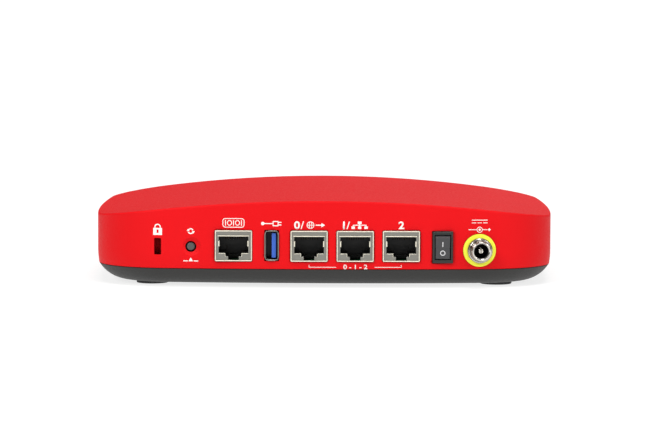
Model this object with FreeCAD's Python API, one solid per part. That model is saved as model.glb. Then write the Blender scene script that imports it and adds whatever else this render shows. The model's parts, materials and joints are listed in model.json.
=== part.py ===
import FreeCAD, Part
import math
import os

# Desktop firewall appliance, in millimetres. +Z is up, the connector face looks towards -Y
# and the indicator face towards +Y. Each sub-part is drawn about the middle of the case, and
# all are then moved together so that the origin is on the ground under the middle of the whole.

Vector = FreeCAD.Vector

# ---------------------------------------------------------------- case
case_width = 206.0
case_depth = 170.0
foot_height = 1.2  # rubber that shows below the tray
base_height = 7.3  # underside of the tray to the parting line
cover_height = 30.0  # parting line to the crown of the lid
rear_face_radius = 680.0  # every face bows outwards in plan
side_face_radius = 690.0
front_face_radius = 520.0
rear_corner_radius = 34.0
front_corner_radius = 30.0
crown_radius = 640.0  # arch of the lid across its width
crease_radius = 0.8  # rounding where the lid turns into the walls
cover_wall = 2.2
base_wall = 2.0
base_arc_radius = 14.6  # section of the tray's turned-up edge
skirt_height = 6.5  # lowest band of the cover, which curves inwards
skirt_radius = 40.0
rim_depth = 22.0  # width of the band that the edge section is turned in
seam_gap = 0.25  # shadow line between cover and tray
lip_thickness = 1.2
lip_height = 2.5
lip_root = 1.1
lip_gap = 0.15
lip_notch_gap = 0.6  # lip to the cover's pads round the switch and the inlet

# ---------------------------------------------------------------- fasteners
boss_edge_offset = 19.0  # case screw axis to the widest part of the case
boss_rear_y = -30.0
boss_front_y = 42.0
boss_radius = 3.6
cover_pilot_radius = 1.45
case_screw_radius = 1.4
case_screw_length = 14.0
case_screw_head_radius = 2.8
case_screw_head_height = 2.2
counterbore_radius = 3.1
counterbore_depth = 4.0
boss_skin = 1.3  # plastic round and over the counterbore
boss_seat_z = 9.2  # where cover boss and tray boss meet
screw_clearance = 0.2
drive_recess_radius = 0.9
drive_recess_depth = 1.1

post_radius = 3.0  # board posts hang from the lid
post_pilot_radius = 1.05
post_side_offset = 37.0  # post axis to the widest part of the case
post_rear_y = -40.0
post_front_y = 54.0
board_screw_radius = 1.0
board_screw_length = 8.0
board_screw_head_radius = 2.2
board_screw_head_height = 1.6

# ---------------------------------------------------------------- board
board_thickness = 1.6
board_rise = 3.4  # top of the board over the parting line
board_gap = 0.8  # board edge to the tray's lip
board_side_margin = 25.0  # board edge to the widest part of the case
board_front_margin = 13.0  # board edge to the front of the case
pin_gap = 0.1  # clearance round legs and pegs in the board
leg_length = 3.0

# ---------------------------------------------------------------- network and console sockets
jack_width = 16.2
jack_height = 13.5
jack_length = 17.5
jack_proud = 0.35
jack_gap = 0.25  # cover opening round each socket
jack_corner = 0.8
sheet = 0.3
jack_leg_back = 12.0  # shield legs behind the socket's front
jack_leg_depth = 1.6
leg_root = 2.0  # how far a leg runs up the side of its shell
jack_floor_back = 4.0  # where the shield's floor opens for the insert's pegs
insert_gap = 0.02
jack_plate_recess = 0.6
jack_mouth_half = 6.5
jack_mouth_low = 3.5
jack_mouth_high = 10.9
latch_wide_half = 3.5
latch_wide_low = 2.05
latch_narrow_half = 2.35
jack_cavity_depth = 12.6
latch_room_depth = 2.0  # the latch's channel runs this much deeper
latch_room_high = 6.4
spring_low = 6.6  # grounding springs at the sides of the mouth
spring_high = 8.8
spring_reach = 0.55
spring_bow = 2.6
spring_gap = 0.2
contact_count = 8
contact_pitch = 1.02
contact_width = 0.35
contact_rise = 0.6  # contact groove above the mouth's ceiling
contact_groove_gap = 0.1
contact_wire = 0.33
contact_fold = 1.1  # where a wire folds back, behind the insert's front
contact_tip_back = 8.4
contact_tip_drop = 2.75
contact_root_back = 2.3
peg_radius = 1.5
peg_side = 5.7
peg_back = 8.9
port_pitch = 20.19
first_port_x = -6.62
console_x = -39.75

# ---------------------------------------------------------------- USB socket
usb_x = -23.0
usb_rise = 6.95  # centre over the board
usb_width = 5.8
usb_height = 12.9
usb_length = 17.5
usb_corner = 1.0
usb_gap_x = 0.3
usb_gap_z = 0.35
usb_proud = 0.15
tongue_thickness = 1.8
tongue_offset = 0.95  # tongue centre from the socket centre
tongue_half_height = 5.35
tongue_length = 8.6
tongue_recess = 1.2
tongue_corner = 0.25
usb_flare = 0.22  # lips round the mouth lean outwards
usb_flare_reach = 0.5
usb_flare_root = 0.4
usb_side_lip = 5.2  # half length of the lips at the sides
usb_end_lip = 1.5
usb_leg_places = (5.0, 13.0)  # behind the socket's front
usb_leg_depth = 1.6
long_strip_places = (-3.5, -1.0, 1.0, 3.5)
long_strip_width = 1.0
long_strip_thickness = 0.2
long_strip_recess = 0.8
short_strip_places = (-4.5, -2.25, 0.0, 2.25, 4.5)
short_strip_width = 0.6
short_strip_thickness = 0.25
short_strip_length = 2.6

# ---------------------------------------------------------------- power switch
switch_x = 51.95
switch_rise = 9.7  # centre over the parting line
bezel_width = 9.0
bezel_height = 13.9
bezel_thickness = 1.4
bezel_edge = 0.35
switch_pad_margin = 0.6  # flat pad round the bezel, each way
switch_body_width = 8.2
switch_body_height = 12.4
switch_body_depth = 10.5
switch_gap = 0.1  # cover opening round the switch body
rocker_opening_width = 7.1
rocker_opening_height = 11.1
rocker_width = 6.4
rocker_half_height = 4.8
rocker_face_offset = 1.5  # pivot to the middle of the rocker's face
rocker_recess = 0.5  # pressed half below the bezel's front
rocker_swing = 20.0
rocker_back = 4.0
rocker_end_back = 1.2  # where its curved ends stop
rocker_root_half = 3.0
rocker_tail_half = 1.2
rocker_edge = 0.22
trunnion_radius = 0.8
trunnion_gap = 0.04
trunnion_reach = 0.62
trunnion_end_gap = 0.05
rocker_cavity_depth = 7.6
tab_width = 2.8
tab_thickness = 0.5
tab_length = 6.0
tab_spacing = 7.2
tab_root = 2.0  # length inside the switch body

# ---------------------------------------------------------------- power inlet
inlet_x = 68.1
inlet_rise = 8.3  # axis over the parting line
inlet_seat_sink = 0.3  # seat below the wall surface on the axis
marker_ring_radius = 7.2
marker_ring_thickness = 0.5
marker_ring_gap = 0.15
inlet_pad_radius = 8.1
inlet_nut_radius = 5.5
inlet_nut_chamfer = 0.45
nut_notch_width = 1.2
nut_notch_depth = 0.8
inlet_nut_thickness = 2.4
barrel_radius = 4.2  # collar in front of the nut
barrel_shoulder = 0.25  # step up to the thread, at the nut's face
barrel_thread_radius = barrel_radius + barrel_shoulder
barrel_edge = 0.35
barrel_reach = 7.4  # barrel in front of the seat
barrel_bore_radius = 3.2
barrel_lip = 1.2
lining_radius = 3.6
lining_bore_radius = 3.1
inlet_pin_radius = 1.25
inlet_pin_split = 0.4
inlet_pin_split_depth = 4.0
inlet_pin_tip = 0.6
inlet_pin_recess = 2.2
barrel_flange_radius = 5.4
barrel_flange_thickness = 1.0
inlet_body_width = 10.6
inlet_body_depth = 12.0
inlet_bore_depth = 8.0
thread_gap = 0.05
blade_width = 2.2
blade_thickness = 0.8
blade_places = ((0.0, 1.2), (0.0, 7.0), (-3.2, 4.0))  # sideways, and in from the body's back

# ---------------------------------------------------------------- reset button
reset_x = -58.5
reset_rise = 9.6
reset_dish_radius = 4.1
reset_dish_depth = 1.3
reset_hole_radius = 2.4
reset_button_radius = 1.75
reset_button_sink = 0.7  # button face below the wall surface
reset_button_length = 4.3
reset_travel = 0.5
reset_stem_radius = 1.1
reset_stem_gap = 0.06
reset_cap_edge = 0.5
reset_socket_start = 2.2  # the stem's socket in the back of the button
reset_stem_seat = 1.6  # how far the stem reaches into the switch case
reset_bracket_inset = 0.6
reset_case_width = 6.6
reset_case_depth = 4.0
reset_case_over_axis = 3.2
reset_case_front_gap = 0.9  # button's back to the switch case

# ---------------------------------------------------------------- lock slot
lock_x = -73.1
lock_rise = 9.55
lock_slot_width = 3.0
lock_slot_height = 7.3
lock_slot_corner = 0.5
lock_pocket_half = 4.4
lock_pocket_depth = 5.0
lock_pocket_wall = 1.2

# ---------------------------------------------------------------- feet and vents
foot_radius = 7.0
foot_sink = 0.6
foot_side_offset = 26.5  # foot centre to the widest part of the case
foot_end_offset = 27.5  # foot centre to the rear or front of the case
foot_edge = 0.4
vent_count = 12
vent_pitch = 6.0
vent_width = 2.0
vent_length = 34.0
vent_row_y = 24.0

# ---------------------------------------------------------------- indicators
pipe_count = 8
pipe_pitch = 7.0
first_pipe_x = 14.0
pipe_radius = 1.3
pipe_gap = 0.08
pipe_rise = 2.6  # pipe axis over the board
pipe_bar_back = 7.0  # carrier bar behind the front face
pipe_bar_depth = 1.8
pipe_bar_height = 3.6
pipe_bar_end = 2.0
led_size = 2.4
led_depth = 1.6
led_gap = 0.4

# ---------------------------------------------------------------- switch leads
lead_radius = 0.75
header_width = 7.6
header_depth = 5.0
header_height = 6.0
header_entry = 3.2  # wire axis over the board
lead_level_run = 7.0
lead_bend_share = 0.45  # of a run that its bend takes
header_pin_half = 0.3
header_pin_side = 1.9
header_x = 56.0
header_y = -32.0
sleeve_width = 4.4
sleeve_height = 3.0
sleeve_length = 9.0
sleeve_corner = 0.6
sleeve_gap = 0.4  # switch body to the receptacles

# ---------------------------------------------------------------- parts on the board
chip_x = 6.0
chip_y = -12.0
chip_size = 17.0
chip_height = 1.8
pad_height = 0.8
sink_size = 40.0
sink_base = 2.0
sink_height = 11.0
fin_count = 11
fin_thickness = 1.1
pin_spread = 16.5  # push pin axes from the middle of the heat sink
pin_corners = ((-1, -1), (1, 1))
push_pin_radius = 1.3
push_pin_head_radius = 2.4
push_pin_head_height = 2.5
push_pin_tail = 1.5
push_pin_room = 2.6
network_chip_place = (24.0, -38.0, 12.0, 12.0, 1.2)
transformer_back = 7.5  # centre behind the socket
transformer_width = 13.0
transformer_depth = 9.5
transformer_height = 5.8
transformer_corner = 0.6
row_pitch = 11.0  # capacitors, and inductors
capacitor_x = 40.0
capacitor_y = -14.0
capacitor_radius = 4.0
capacitor_height = 10.5
capacitor_edge = 0.5
inductor_x = 42.0
inductor_y = 2.0
inductor_size = 7.6
inductor_height = 4.2
inductor_corner = 1.4
row_count = 3
memory_x = -24.0
memory_y = -22.0
memory_pitch = 14.0
memory_size = (9.0, 11.5, 1.1)
small_chip_places = (
    (-24.0, 10.0, 11.5, 13.0, 1.2),  # storage
    (-39.0, -48.0, 6.0, 5.0, 1.5),  # console transceiver
    (48.0, 14.0, 7.0, 7.0, 1.0),  # power controller
)
cell_x = -50.0
cell_y = 18.0
cell_radius = 10.0
cell_thickness = 3.2
cell_edge = 0.4
cell_gap = 0.1
cell_floor = 1.2
holder_radius = 12.0
holder_height = 4.8
crystal_place = (-8.0, 20.0, 11.0, 4.6, 3.5)
crystal_corner = 2.2

half_width = case_width / 2
rear_y = -case_depth / 2
front_y = case_depth / 2
under_z = foot_height
part_z = under_z + base_height
crown_z = part_z + cover_height
board_top = part_z + board_rise
board_under = board_top - board_thickness
far = 1.2 * crown_z  # tall enough to pass through the whole case
hair = 0.01  # tells one edge's place from another's


# ================================================================ small shapes
def block(x0, x1, y0, y1, z0, z1):
    return Part.makeBox(x1 - x0, y1 - y0, z1 - z0, Vector(x0, y0, z0))


def centred(x, z, width, height, y0, y1):
    """A block centred on x and z."""
    return block(x - width / 2, x + width / 2, y0, y1, z - height / 2, z + height / 2)


def rod_y(x, z, radius, y0, y1):
    return Part.makeCylinder(radius, y1 - y0, Vector(x, y0, z), Vector(0, 1, 0))


def rod_z(x, y, radius, z0, z1):
    return Part.makeCylinder(radius, z1 - z0, Vector(x, y, z0))


def rod_x(y, z, radius, x0, x1):
    return Part.makeCylinder(radius, x1 - x0, Vector(x0, y, z), Vector(1, 0, 0))


def face_of(points):
    return Part.Face(Part.makePolygon(points + [points[0]]))


def plate_xz(points, y0, y1):
    """An outline in X and Z, as thick as y0 to y1."""
    return face_of([Vector(x, y0, z) for x, z in points]).extrude(Vector(0, y1 - y0, 0))


def plate_yz(points, x0, x1):
    return face_of([Vector(x0, y, z) for y, z in points]).extrude(Vector(x1 - x0, 0, 0))


def plate_xy(points, z0, z1):
    return face_of([Vector(x, y, z0) for x, y in points]).extrude(Vector(0, 0, z1 - z0))


def edges_along(shape, direction):
    """The straight edges of a shape that run along a direction."""
    found = []
    for edge in shape.Edges:
        if edge.Curve.TypeId == "Part::GeomLine":
            run = edge.Vertexes[1].Point - edge.Vertexes[0].Point
            if run.cross(direction).Length < 1e-6 * run.Length:
                found.append(edge)
    return found


def soft_block(x, z, width, height, y0, y1, corner):
    """A centred block with its four long edges rounded."""
    body = centred(x, z, width, height, y0, y1)
    return body.makeFillet(corner, edges_along(body, Vector(0, 1, 0)))


def joined(shapes):
    first = shapes[0]
    return first.fuse(shapes[1:]).removeSplitter() if len(shapes) > 1 else first


def ring_edges(shape, axis_x, axis_z, radius, y):
    """The round edges of a given radius about an axis along Y, in the plane at y."""
    found = []
    for edge in shape.Edges:
        if edge.Curve.TypeId == "Part::GeomCircle":
            centre = edge.Curve.Center
            off = abs(edge.Curve.Radius - radius) + abs(centre.x - axis_x)
            if off + abs(centre.z - axis_z) + abs(centre.y - y) < 1e-4:
                found.append(edge)
    return found


# ================================================================ outline of the case
def corner_centre(face_centre, face_radius, side_centre, corner_radius, sign_y):
    """Centre of a corner arc that touches an end face's arc and a side's arc from inside."""
    r0 = face_radius - corner_radius
    r1 = side_face_radius - corner_radius
    gap = side_centre - face_centre
    along = (r0**2 - r1**2 + gap.Length**2) / (2 * gap.Length)
    across = math.sqrt(r0**2 - along**2)
    unit = Vector(gap).normalize()
    foot = face_centre + unit * along
    turned = Vector(-unit.y, unit.x, 0)
    options = (foot + turned * across, foot - turned * across)
    return max(options, key=lambda p: sign_y * p.y)


def outline_arcs():
    """Centre, radius, first and last angle of each arc, counter-clockwise from the rear face."""
    rear = Vector(0, rear_y + rear_face_radius, 0)
    front = Vector(0, front_y - front_face_radius, 0)
    right = Vector(half_width - side_face_radius, 0, 0)
    rear_corner = corner_centre(rear, rear_face_radius, right, rear_corner_radius, -1)
    front_corner = corner_centre(front, front_face_radius, right, front_corner_radius, 1)

    def heading(start, end):
        return math.atan2(end.y - start.y, end.x - start.x)

    rear_turn = heading(rear, rear_corner)
    low_turn = heading(right, rear_corner)
    high_turn = heading(right, front_corner)
    front_turn = heading(front, front_corner)

    def mirrored(p):
        return Vector(-p.x, p.y, 0)

    pi = math.pi
    return [
        (rear, rear_face_radius, -pi - rear_turn, rear_turn),
        (rear_corner, rear_corner_radius, rear_turn, low_turn),
        (right, side_face_radius, low_turn, high_turn),
        (front_corner, front_corner_radius, high_turn, front_turn),
        (front, front_face_radius, front_turn, pi - front_turn),
        (mirrored(front_corner), front_corner_radius, pi - front_turn, pi - high_turn),
        (mirrored(right), side_face_radius, pi - high_turn, pi - low_turn),
        (mirrored(rear_corner), rear_corner_radius, pi - low_turn, pi - rear_turn),
    ]


def on_arc(centre, radius, angle, z):
    return Vector(centre.x + radius * math.cos(angle), centre.y + radius * math.sin(angle), z)


def outline_face(inset, z):
    """The plan of the case, moved inwards all round."""
    edges = []
    for centre, radius, start, end in outline_arcs():
        r = radius - inset
        angles = (start, (start + end) / 2, end)
        edges.append(Part.Arc(*[on_arc(centre, r, a, z) for a in angles]).toShape())
    return Part.Face(Part.Wire(Part.__sortEdges__(edges)))


def slab(inset, z0, z1):
    return outline_face(inset, z0).extrude(Vector(0, 0, z1 - z0))


def turned_edge(section, z0, z1):
    """A slab whose edge follows a section: section(face_radius) gives its outer edges in X and Z."""
    pieces = [slab(rim_depth, z0, z1)]
    for centre, radius, start, end in outline_arcs():
        outer = section(radius)
        first, last = outer[0].Vertexes[0].Point, outer[-1].Vertexes[-1].Point
        inner = radius - rim_depth
        corners = [last, Vector(inner, 0, z1), Vector(inner, 0, z0), first]
        back = [Part.makeLine(a, b) for a, b in zip(corners, corners[1:])]
        face = Part.Face(Part.Wire(outer + back))
        face.rotate(Vector(0, 0, 0), Vector(0, 0, 1), math.degrees(start))
        face.translate(centre)
        pieces.append(face.revolve(centre, Vector(0, 0, 1), math.degrees(end - start)))
    return joined(pieces)


def skirt_inset():
    """How far the cover's edge has curved in at the parting line."""
    return skirt_radius - math.sqrt(skirt_radius**2 - skirt_height**2)


def arc_in_section(centre_r, centre_z, radius, z0, z1):
    """Part of a circle in section, on its outer side, from z0 up to z1."""

    def at(z):
        return Vector(centre_r + math.sqrt(max(radius**2 - (z - centre_z) ** 2, 0)), 0, z)

    middle = centre_z - radius * math.sin(
        (math.asin((centre_z - z0) / radius) + math.asin((centre_z - z1) / radius)) / 2
    )
    return Part.Arc(at(z0), at(middle), at(z1)).toShape()


def skirt_section(face_radius):
    return [
        arc_in_section(
            face_radius - skirt_radius,
            part_z + skirt_height,
            skirt_radius,
            part_z,
            part_z + skirt_height,
        )
    ]


def base_section(face_radius, inset, z1):
    """Outside of the tray, or its inside when inset is the wall."""
    rise = base_arc_radius - base_height
    centre_r = face_radius - skirt_inset() - math.sqrt(base_arc_radius**2 - rise**2)
    return [
        arc_in_section(
            centre_r, under_z + base_arc_radius, base_arc_radius - inset, under_z + inset, z1
        )
    ]


def rear_wall_y(x):
    return rear_y + rear_face_radius - math.sqrt(rear_face_radius**2 - x**2)


def front_wall_y(x):
    return front_y - front_face_radius + math.sqrt(front_face_radius**2 - x**2)


def arch(inset):
    """Everything under the arch of the lid, down to the ground."""
    radius = crown_radius - inset
    centre_z = crown_z - crown_radius
    reach = half_width + base_arc_radius
    side_z = centre_z + math.sqrt(radius**2 - reach**2)
    top = Part.Arc(
        Vector(-reach, -case_depth, side_z),
        Vector(0, -case_depth, centre_z + radius),
        Vector(reach, -case_depth, side_z),
    ).toShape()
    corners = [(reach, side_z), (reach, 0), (-reach, 0), (-reach, side_z)]
    points = [Vector(x, -case_depth, z) for x, z in corners]
    sides = [Part.makeLine(a, b) for a, b in zip(points, points[1:])]
    return Part.Face(Part.Wire([top] + sides)).extrude(Vector(0, 2 * case_depth, 0))


# ================================================================ cover
def boss_places():
    x = half_width - boss_edge_offset
    return [(sx * x, y) for sx in (-1, 1) for y in (boss_rear_y, boss_front_y)]


def post_places():
    x = half_width - post_side_offset
    return [(sx * x, y) for sx in (-1, 1) for y in (post_rear_y, post_front_y)]


def switch_seat_y():
    """Flat seat of the switch bezel, level with the wall at the bezel's outer edge."""
    return rear_wall_y(switch_x + bezel_width / 2)


def switch_pad_half():
    return bezel_width / 2 + 1


def inlet_seat_y():
    return rear_wall_y(inlet_x) + inlet_seat_sink


def jack_front_y(x):
    return rear_wall_y(x) - jack_proud


def port_places():
    ports = [("console_port", console_x)]
    ports += [("port_%d" % n, first_port_x + n * port_pitch) for n in range(3)]
    return ports


def pipe_places():
    return [first_pipe_x + n * pipe_pitch for n in range(pipe_count)]


def cover_shell():
    upper = slab(0, part_z + skirt_height, crown_z + 1).common(arch(0))
    creases = [e for e in upper.Edges if e.BoundBox.ZMin > part_z + skirt_height + 1]
    upper = upper.makeFillet(crease_radius, creases)
    lower = turned_edge(skirt_section, part_z, part_z + skirt_height)
    outside = joined([upper, lower])
    cavity = slab(cover_wall, part_z - 1, crown_z + 1).common(arch(cover_wall))
    return outside, outside.cut(cavity)


def reset_dish():
    """Shallow round hollow that leads the finger to the reset button."""
    radius = (reset_dish_radius**2 + reset_dish_depth**2) / (2 * reset_dish_depth)
    centre_y = rear_wall_y(reset_x) + reset_dish_depth - radius
    return Part.makeSphere(radius, Vector(reset_x, centre_y, part_z + reset_rise))


def lock_pocket():
    """Box behind the lock slot, and the slot and hollow to cut through it."""
    y = rear_wall_y(lock_x)
    z = part_z + lock_rise
    inner = 2 * lock_pocket_half
    outer = inner + 2 * lock_pocket_wall
    back = y + cover_wall + lock_pocket_depth
    box = centred(lock_x, z, outer, outer, y + cover_wall / 2, back + lock_pocket_wall)
    hollow = centred(lock_x, z, inner, inner, y + cover_wall, back)
    slot = soft_block(
        lock_x, z, lock_slot_width, lock_slot_height, y - 2, y + 2 * cover_wall, lock_slot_corner
    )
    return box, [hollow, slot]


def top_cover():
    outside, shell = cover_shell()
    switch_z = part_z + switch_rise
    inlet_z = part_z + inlet_rise
    seat = inlet_seat_y()
    pads = [rod_z(x, y, boss_radius, boss_seat_z, far) for x, y in boss_places()]
    pads += [rod_z(x, y, post_radius, board_top, far) for x, y in post_places()]
    pads.append(square_to_wall(rod_y(inlet_x, inlet_z, inlet_pad_radius, seat, seat + cover_wall)))
    switch_seat = switch_seat_y()
    pads.append(
        centred(
            switch_x,
            switch_z,
            2 * switch_pad_half(),
            bezel_height + 2 * switch_pad_margin,
            switch_seat,
            switch_seat + cover_wall,
        )
    )
    box, lock_cuts = lock_pocket()
    kept = [pad.common(outside) for pad in pads + [box]]
    body = joined([shell] + kept)

    cuts = list(lock_cuts)
    cuts += [
        rod_z(x, y, cover_pilot_radius, boss_seat_z - 1, boss_seat_z + case_screw_length)
        for x, y in boss_places()
    ]
    cuts += [
        rod_z(x, y, post_pilot_radius, board_top - 1, board_top + board_screw_length)
        for x, y in post_places()
    ]
    for _, x in port_places():
        y = rear_wall_y(x)
        middle = board_top + jack_height / 2
        width = jack_width + 2 * jack_gap
        height = jack_height + 2 * jack_gap
        cuts.append(soft_block(x, middle, width, height, y - 3, y + 3 * cover_wall, jack_corner))
    y = rear_wall_y(usb_x)
    usb_z = board_top + usb_rise
    cuts.append(
        centred(
            usb_x,
            usb_z,
            usb_width + 2 * usb_gap_x,
            usb_height + 2 * usb_gap_z,
            y - 3,
            y + 3 * cover_wall,
        )
    )
    front = switch_seat - 3 * cover_wall
    cuts.append(
        centred(
            switch_x,
            switch_z,
            bezel_width + 4 * switch_gap,
            bezel_height + 4 * switch_gap,
            front,
            switch_seat,
        )
    )
    cuts.append(
        centred(
            switch_x,
            switch_z,
            switch_body_width + 2 * switch_gap,
            switch_body_height + 2 * switch_gap,
            front,
            switch_seat + 2 * cover_wall,
        )
    )
    flange = inlet_flange_y()
    inlet_cuts = [
        rod_y(inlet_x, inlet_z, marker_ring_radius + marker_ring_gap, seat - 3 * cover_wall, seat),
        rod_y(inlet_x, inlet_z, barrel_thread_radius + 0.2, seat - 1, flange + 1),
        rod_y(inlet_x, inlet_z, barrel_flange_radius + 0.3, flange, flange + 3 * cover_wall),
    ]
    cuts += [square_to_wall(cut) for cut in inlet_cuts]
    reset_y = rear_wall_y(reset_x)
    reset_z = part_z + reset_rise
    cuts.append(reset_dish())
    cuts.append(rod_y(reset_x, reset_z, reset_hole_radius, reset_y - 1, reset_y + 2 * cover_wall))
    pipe_z = board_top + pipe_rise
    for x in pipe_places():
        y = front_wall_y(x)
        cuts.append(rod_y(x, pipe_z, pipe_radius + pipe_gap, y - 2 * cover_wall, y + 1))
    return body.cut(cuts)


# ================================================================ tray
def tray_boss(x, y):
    radius = counterbore_radius + boss_skin
    return rod_z(x, y, radius, under_z + base_wall / 2, boss_seat_z)


def foot_places():
    x = half_width - foot_side_offset
    rear = rear_y + foot_end_offset
    front = front_y - foot_end_offset
    return {
        "foot_rear_left": (-x, rear),
        "foot_rear_right": (x, rear),
        "foot_front_left": (-x, front),
        "foot_front_right": (x, front),
    }


def vents():
    slots = []
    for row in (-1, 1):
        for n in range(vent_count):
            x = (n - (vent_count - 1) / 2) * vent_pitch
            y = row * vent_row_y
            cut = block(
                x - vent_width / 2,
                x + vent_width / 2,
                y - vent_length / 2,
                y + vent_length / 2,
                under_z - 1,
                under_z + base_wall + 1,
            )
            slots.append(cut.makeFillet(0.45 * vent_width, edges_along(cut, Vector(0, 0, 1))))
    return slots


def base_tray():
    top = part_z - seam_gap
    outside = turned_edge(lambda r: base_section(r, 0, top), under_z, top)
    inside_top = part_z + lip_height + 1
    inside = turned_edge(
        lambda r: base_section(r, base_wall, inside_top), under_z + base_wall, inside_top
    )
    lip_inset = cover_wall + lip_gap
    lip = slab(lip_inset, part_z - lip_root, part_z + lip_height)
    lip = lip.cut(slab(lip_inset + lip_thickness, part_z - 2 * lip_root, part_z + 2 * lip_height))
    notch = block(
        switch_x - switch_pad_half() - lip_notch_gap,
        inlet_x + inlet_pad_radius + lip_notch_gap,
        rear_y,
        0,
        part_z - seam_gap,
        part_z + 2 * lip_height,
    )
    bosses = [tray_boss(x, y) for x, y in boss_places()]
    body = joined([outside.cut(inside), lip.cut(notch)] + bosses)

    cuts = []
    for x, y in boss_places():
        cuts.append(rod_z(x, y, counterbore_radius, under_z - 1, under_z + counterbore_depth))
        cuts.append(rod_z(x, y, case_screw_radius + screw_clearance, under_z, far))
    cuts += vents()
    cuts += [
        rod_z(x, y, foot_radius + 0.05, under_z - 1, under_z + foot_sink)
        for x, y in foot_places().values()
    ]
    return body.cut(cuts)


def foot(x, y):
    pad = rod_z(x, y, foot_radius, 0, under_z + foot_sink)
    lowest = [e for e in pad.Edges if e.BoundBox.ZMax < hair]
    return pad.makeFillet(foot_edge, lowest)


# ================================================================ screws
def screw(x, y, seat_z, radius, length, head_radius, head_height):
    """A pan head under seat_z, with the shank going up, and a cross recess in the head."""
    head = rod_z(x, y, head_radius, seat_z - head_height, seat_z)
    rounded = [e for e in head.Edges if e.BoundBox.ZMax < seat_z - head_height + hair]
    head = head.makeFillet(0.4 * head_height, rounded)
    shank = rod_z(x, y, radius, seat_z - 0.1, seat_z + length - radius)
    tip = Part.makeCone(radius, 0.3 * radius, radius, Vector(x, y, seat_z + length - radius))
    body = joined([head, shank, tip])
    low = seat_z - head_height
    wide, thin = drive_recess_radius, 0.28 * drive_recess_radius
    cross = [
        block(x - wide, x + wide, y - thin, y + thin, low - 1, low + drive_recess_depth),
        block(x - thin, x + thin, y - wide, y + wide, low - 1, low + drive_recess_depth),
    ]
    return body.cut(cross)


def case_screws():
    seat = under_z + counterbore_depth
    return Part.makeCompound(
        [
            screw(
                x,
                y,
                seat,
                case_screw_radius,
                case_screw_length,
                case_screw_head_radius,
                case_screw_head_height,
            )
            for x, y in boss_places()
        ]
    )


def board_screws():
    return Part.makeCompound(
        [
            screw(
                x,
                y,
                board_under,
                board_screw_radius,
                board_screw_length,
                board_screw_head_radius,
                board_screw_head_height,
            )
            for x, y in post_places()
        ]
    )


# ================================================================ sockets
def mouth_outline(x, base_z, grow=0.0):
    """The stepped mouth of a network socket, latch side down."""
    wide, middle, narrow = jack_mouth_half, latch_wide_half, latch_narrow_half
    right = [
        (narrow + grow, sheet - grow),
        (narrow + grow, latch_wide_low - grow),
        (middle + grow, latch_wide_low - grow),
        (middle + grow, jack_mouth_low - grow),
        (wide + grow, jack_mouth_low - grow),
        (wide + grow, jack_mouth_high + grow),
    ]
    left = [(-a, b) for a, b in reversed(right)]
    return [(x + a, base_z + b) for a, b in right + left]


def contact_offsets():
    return [(n - (contact_count - 1) / 2) * contact_pitch for n in range(contact_count)]


def jack_shield(x):
    front = jack_front_y(x)
    back = front + jack_length
    middle = board_top + jack_height / 2
    skin = soft_block(x, middle, jack_width, jack_height, front, back, jack_corner)
    hollow = soft_block(
        x,
        middle,
        jack_width - 2 * sheet,
        jack_height - 2 * sheet,
        front - 1,
        back - sheet,
        jack_corner - sheet,
    )
    tube = skin.cut(hollow)
    plate_y = front + jack_plate_recess
    plate = centred(
        x, middle, jack_width - sheet, jack_height - sheet, plate_y, plate_y + sheet
    )
    plate = plate.cut(plate_xz(mouth_outline(x, board_top), plate_y - 1, plate_y + 1))
    springs = []
    for side in (-1, 1):
        edge = jack_mouth_half
        bent = [
            (edge + sheet, plate_y),
            (edge - sheet / 2, plate_y),
            (edge - spring_reach, plate_y + spring_bow / 2),
            (edge - sheet, plate_y + spring_bow),
            (edge, plate_y + spring_bow),
            (edge - spring_reach / 2, plate_y + spring_bow / 2),
        ]
        bent = [(x + side * a, b) for a, b in bent]
        springs.append(plate_xy(bent, board_top + spring_low, board_top + spring_high))
    legs = []
    for side in (-1, 1):
        outer = x + side * jack_width / 2
        inner = outer - side * sheet
        low, high = min(outer, inner), max(outer, inner)
        legs.append(
            block(
                low,
                high,
                front + jack_leg_back,
                front + jack_leg_back + jack_leg_depth,
                board_top - leg_length,
                board_top + leg_root,
            )
        )
    open_floor = block(
        x - jack_width / 2 + sheet,
        x + jack_width / 2 - sheet,
        front + jack_floor_back,
        back - sheet,
        board_top - 1,
        board_top + 2 * sheet,
    )
    return joined([tube.cut(open_floor), plate] + springs + legs)


def jack_insert(x):
    front = jack_front_y(x)
    start = front + jack_plate_recess + sheet
    back = front + jack_length - sheet
    inner_width = jack_width - 2 * (sheet + insert_gap)
    inner_height = jack_height - 2 * (sheet + insert_gap)
    middle = board_top + jack_height / 2
    body = soft_block(x, middle, inner_width, inner_height, start, back, jack_corner - sheet)
    deep = start + jack_cavity_depth
    cavity = plate_xz(mouth_outline(x, board_top, insert_gap), start - 1, deep)
    roof = board_top + jack_mouth_high
    cuts = [
        cavity,
        block(
            x - latch_narrow_half - insert_gap,
            x + latch_narrow_half + insert_gap,
            start - 1,
            deep,
            board_top,
            board_top + latch_wide_low,
        ),
        block(
            x - latch_wide_half,
            x + latch_wide_half,
            start,
            deep + latch_room_depth,
            board_top + latch_wide_low,
            board_top + latch_room_high,
        ),
    ]
    for offset in contact_offsets():
        half = contact_width / 2 + contact_groove_gap
        cuts.append(
            block(
                x + offset - half,
                x + offset + half,
                start - 1,
                start + jack_cavity_depth + 1,
                roof - 1,
                roof + contact_rise,
            )
        )
    for sign in (-1, 1):
        spring_room = [x + sign * (jack_mouth_half - 1), x + sign * (jack_mouth_half + 2 * sheet)]
        cuts.append(
            block(
                min(spring_room),
                max(spring_room),
                start - 1,
                start + spring_bow + 2 * sheet,
                board_top + spring_low - spring_gap,
                board_top + spring_high + spring_gap,
            )
        )
    pegs = [
        rod_z(x + s * peg_side, front + peg_back, peg_radius, board_top - leg_length, board_top + 1)
        for s in (-1, 1)
    ]
    return joined([body.cut(cuts)] + pegs)


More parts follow.
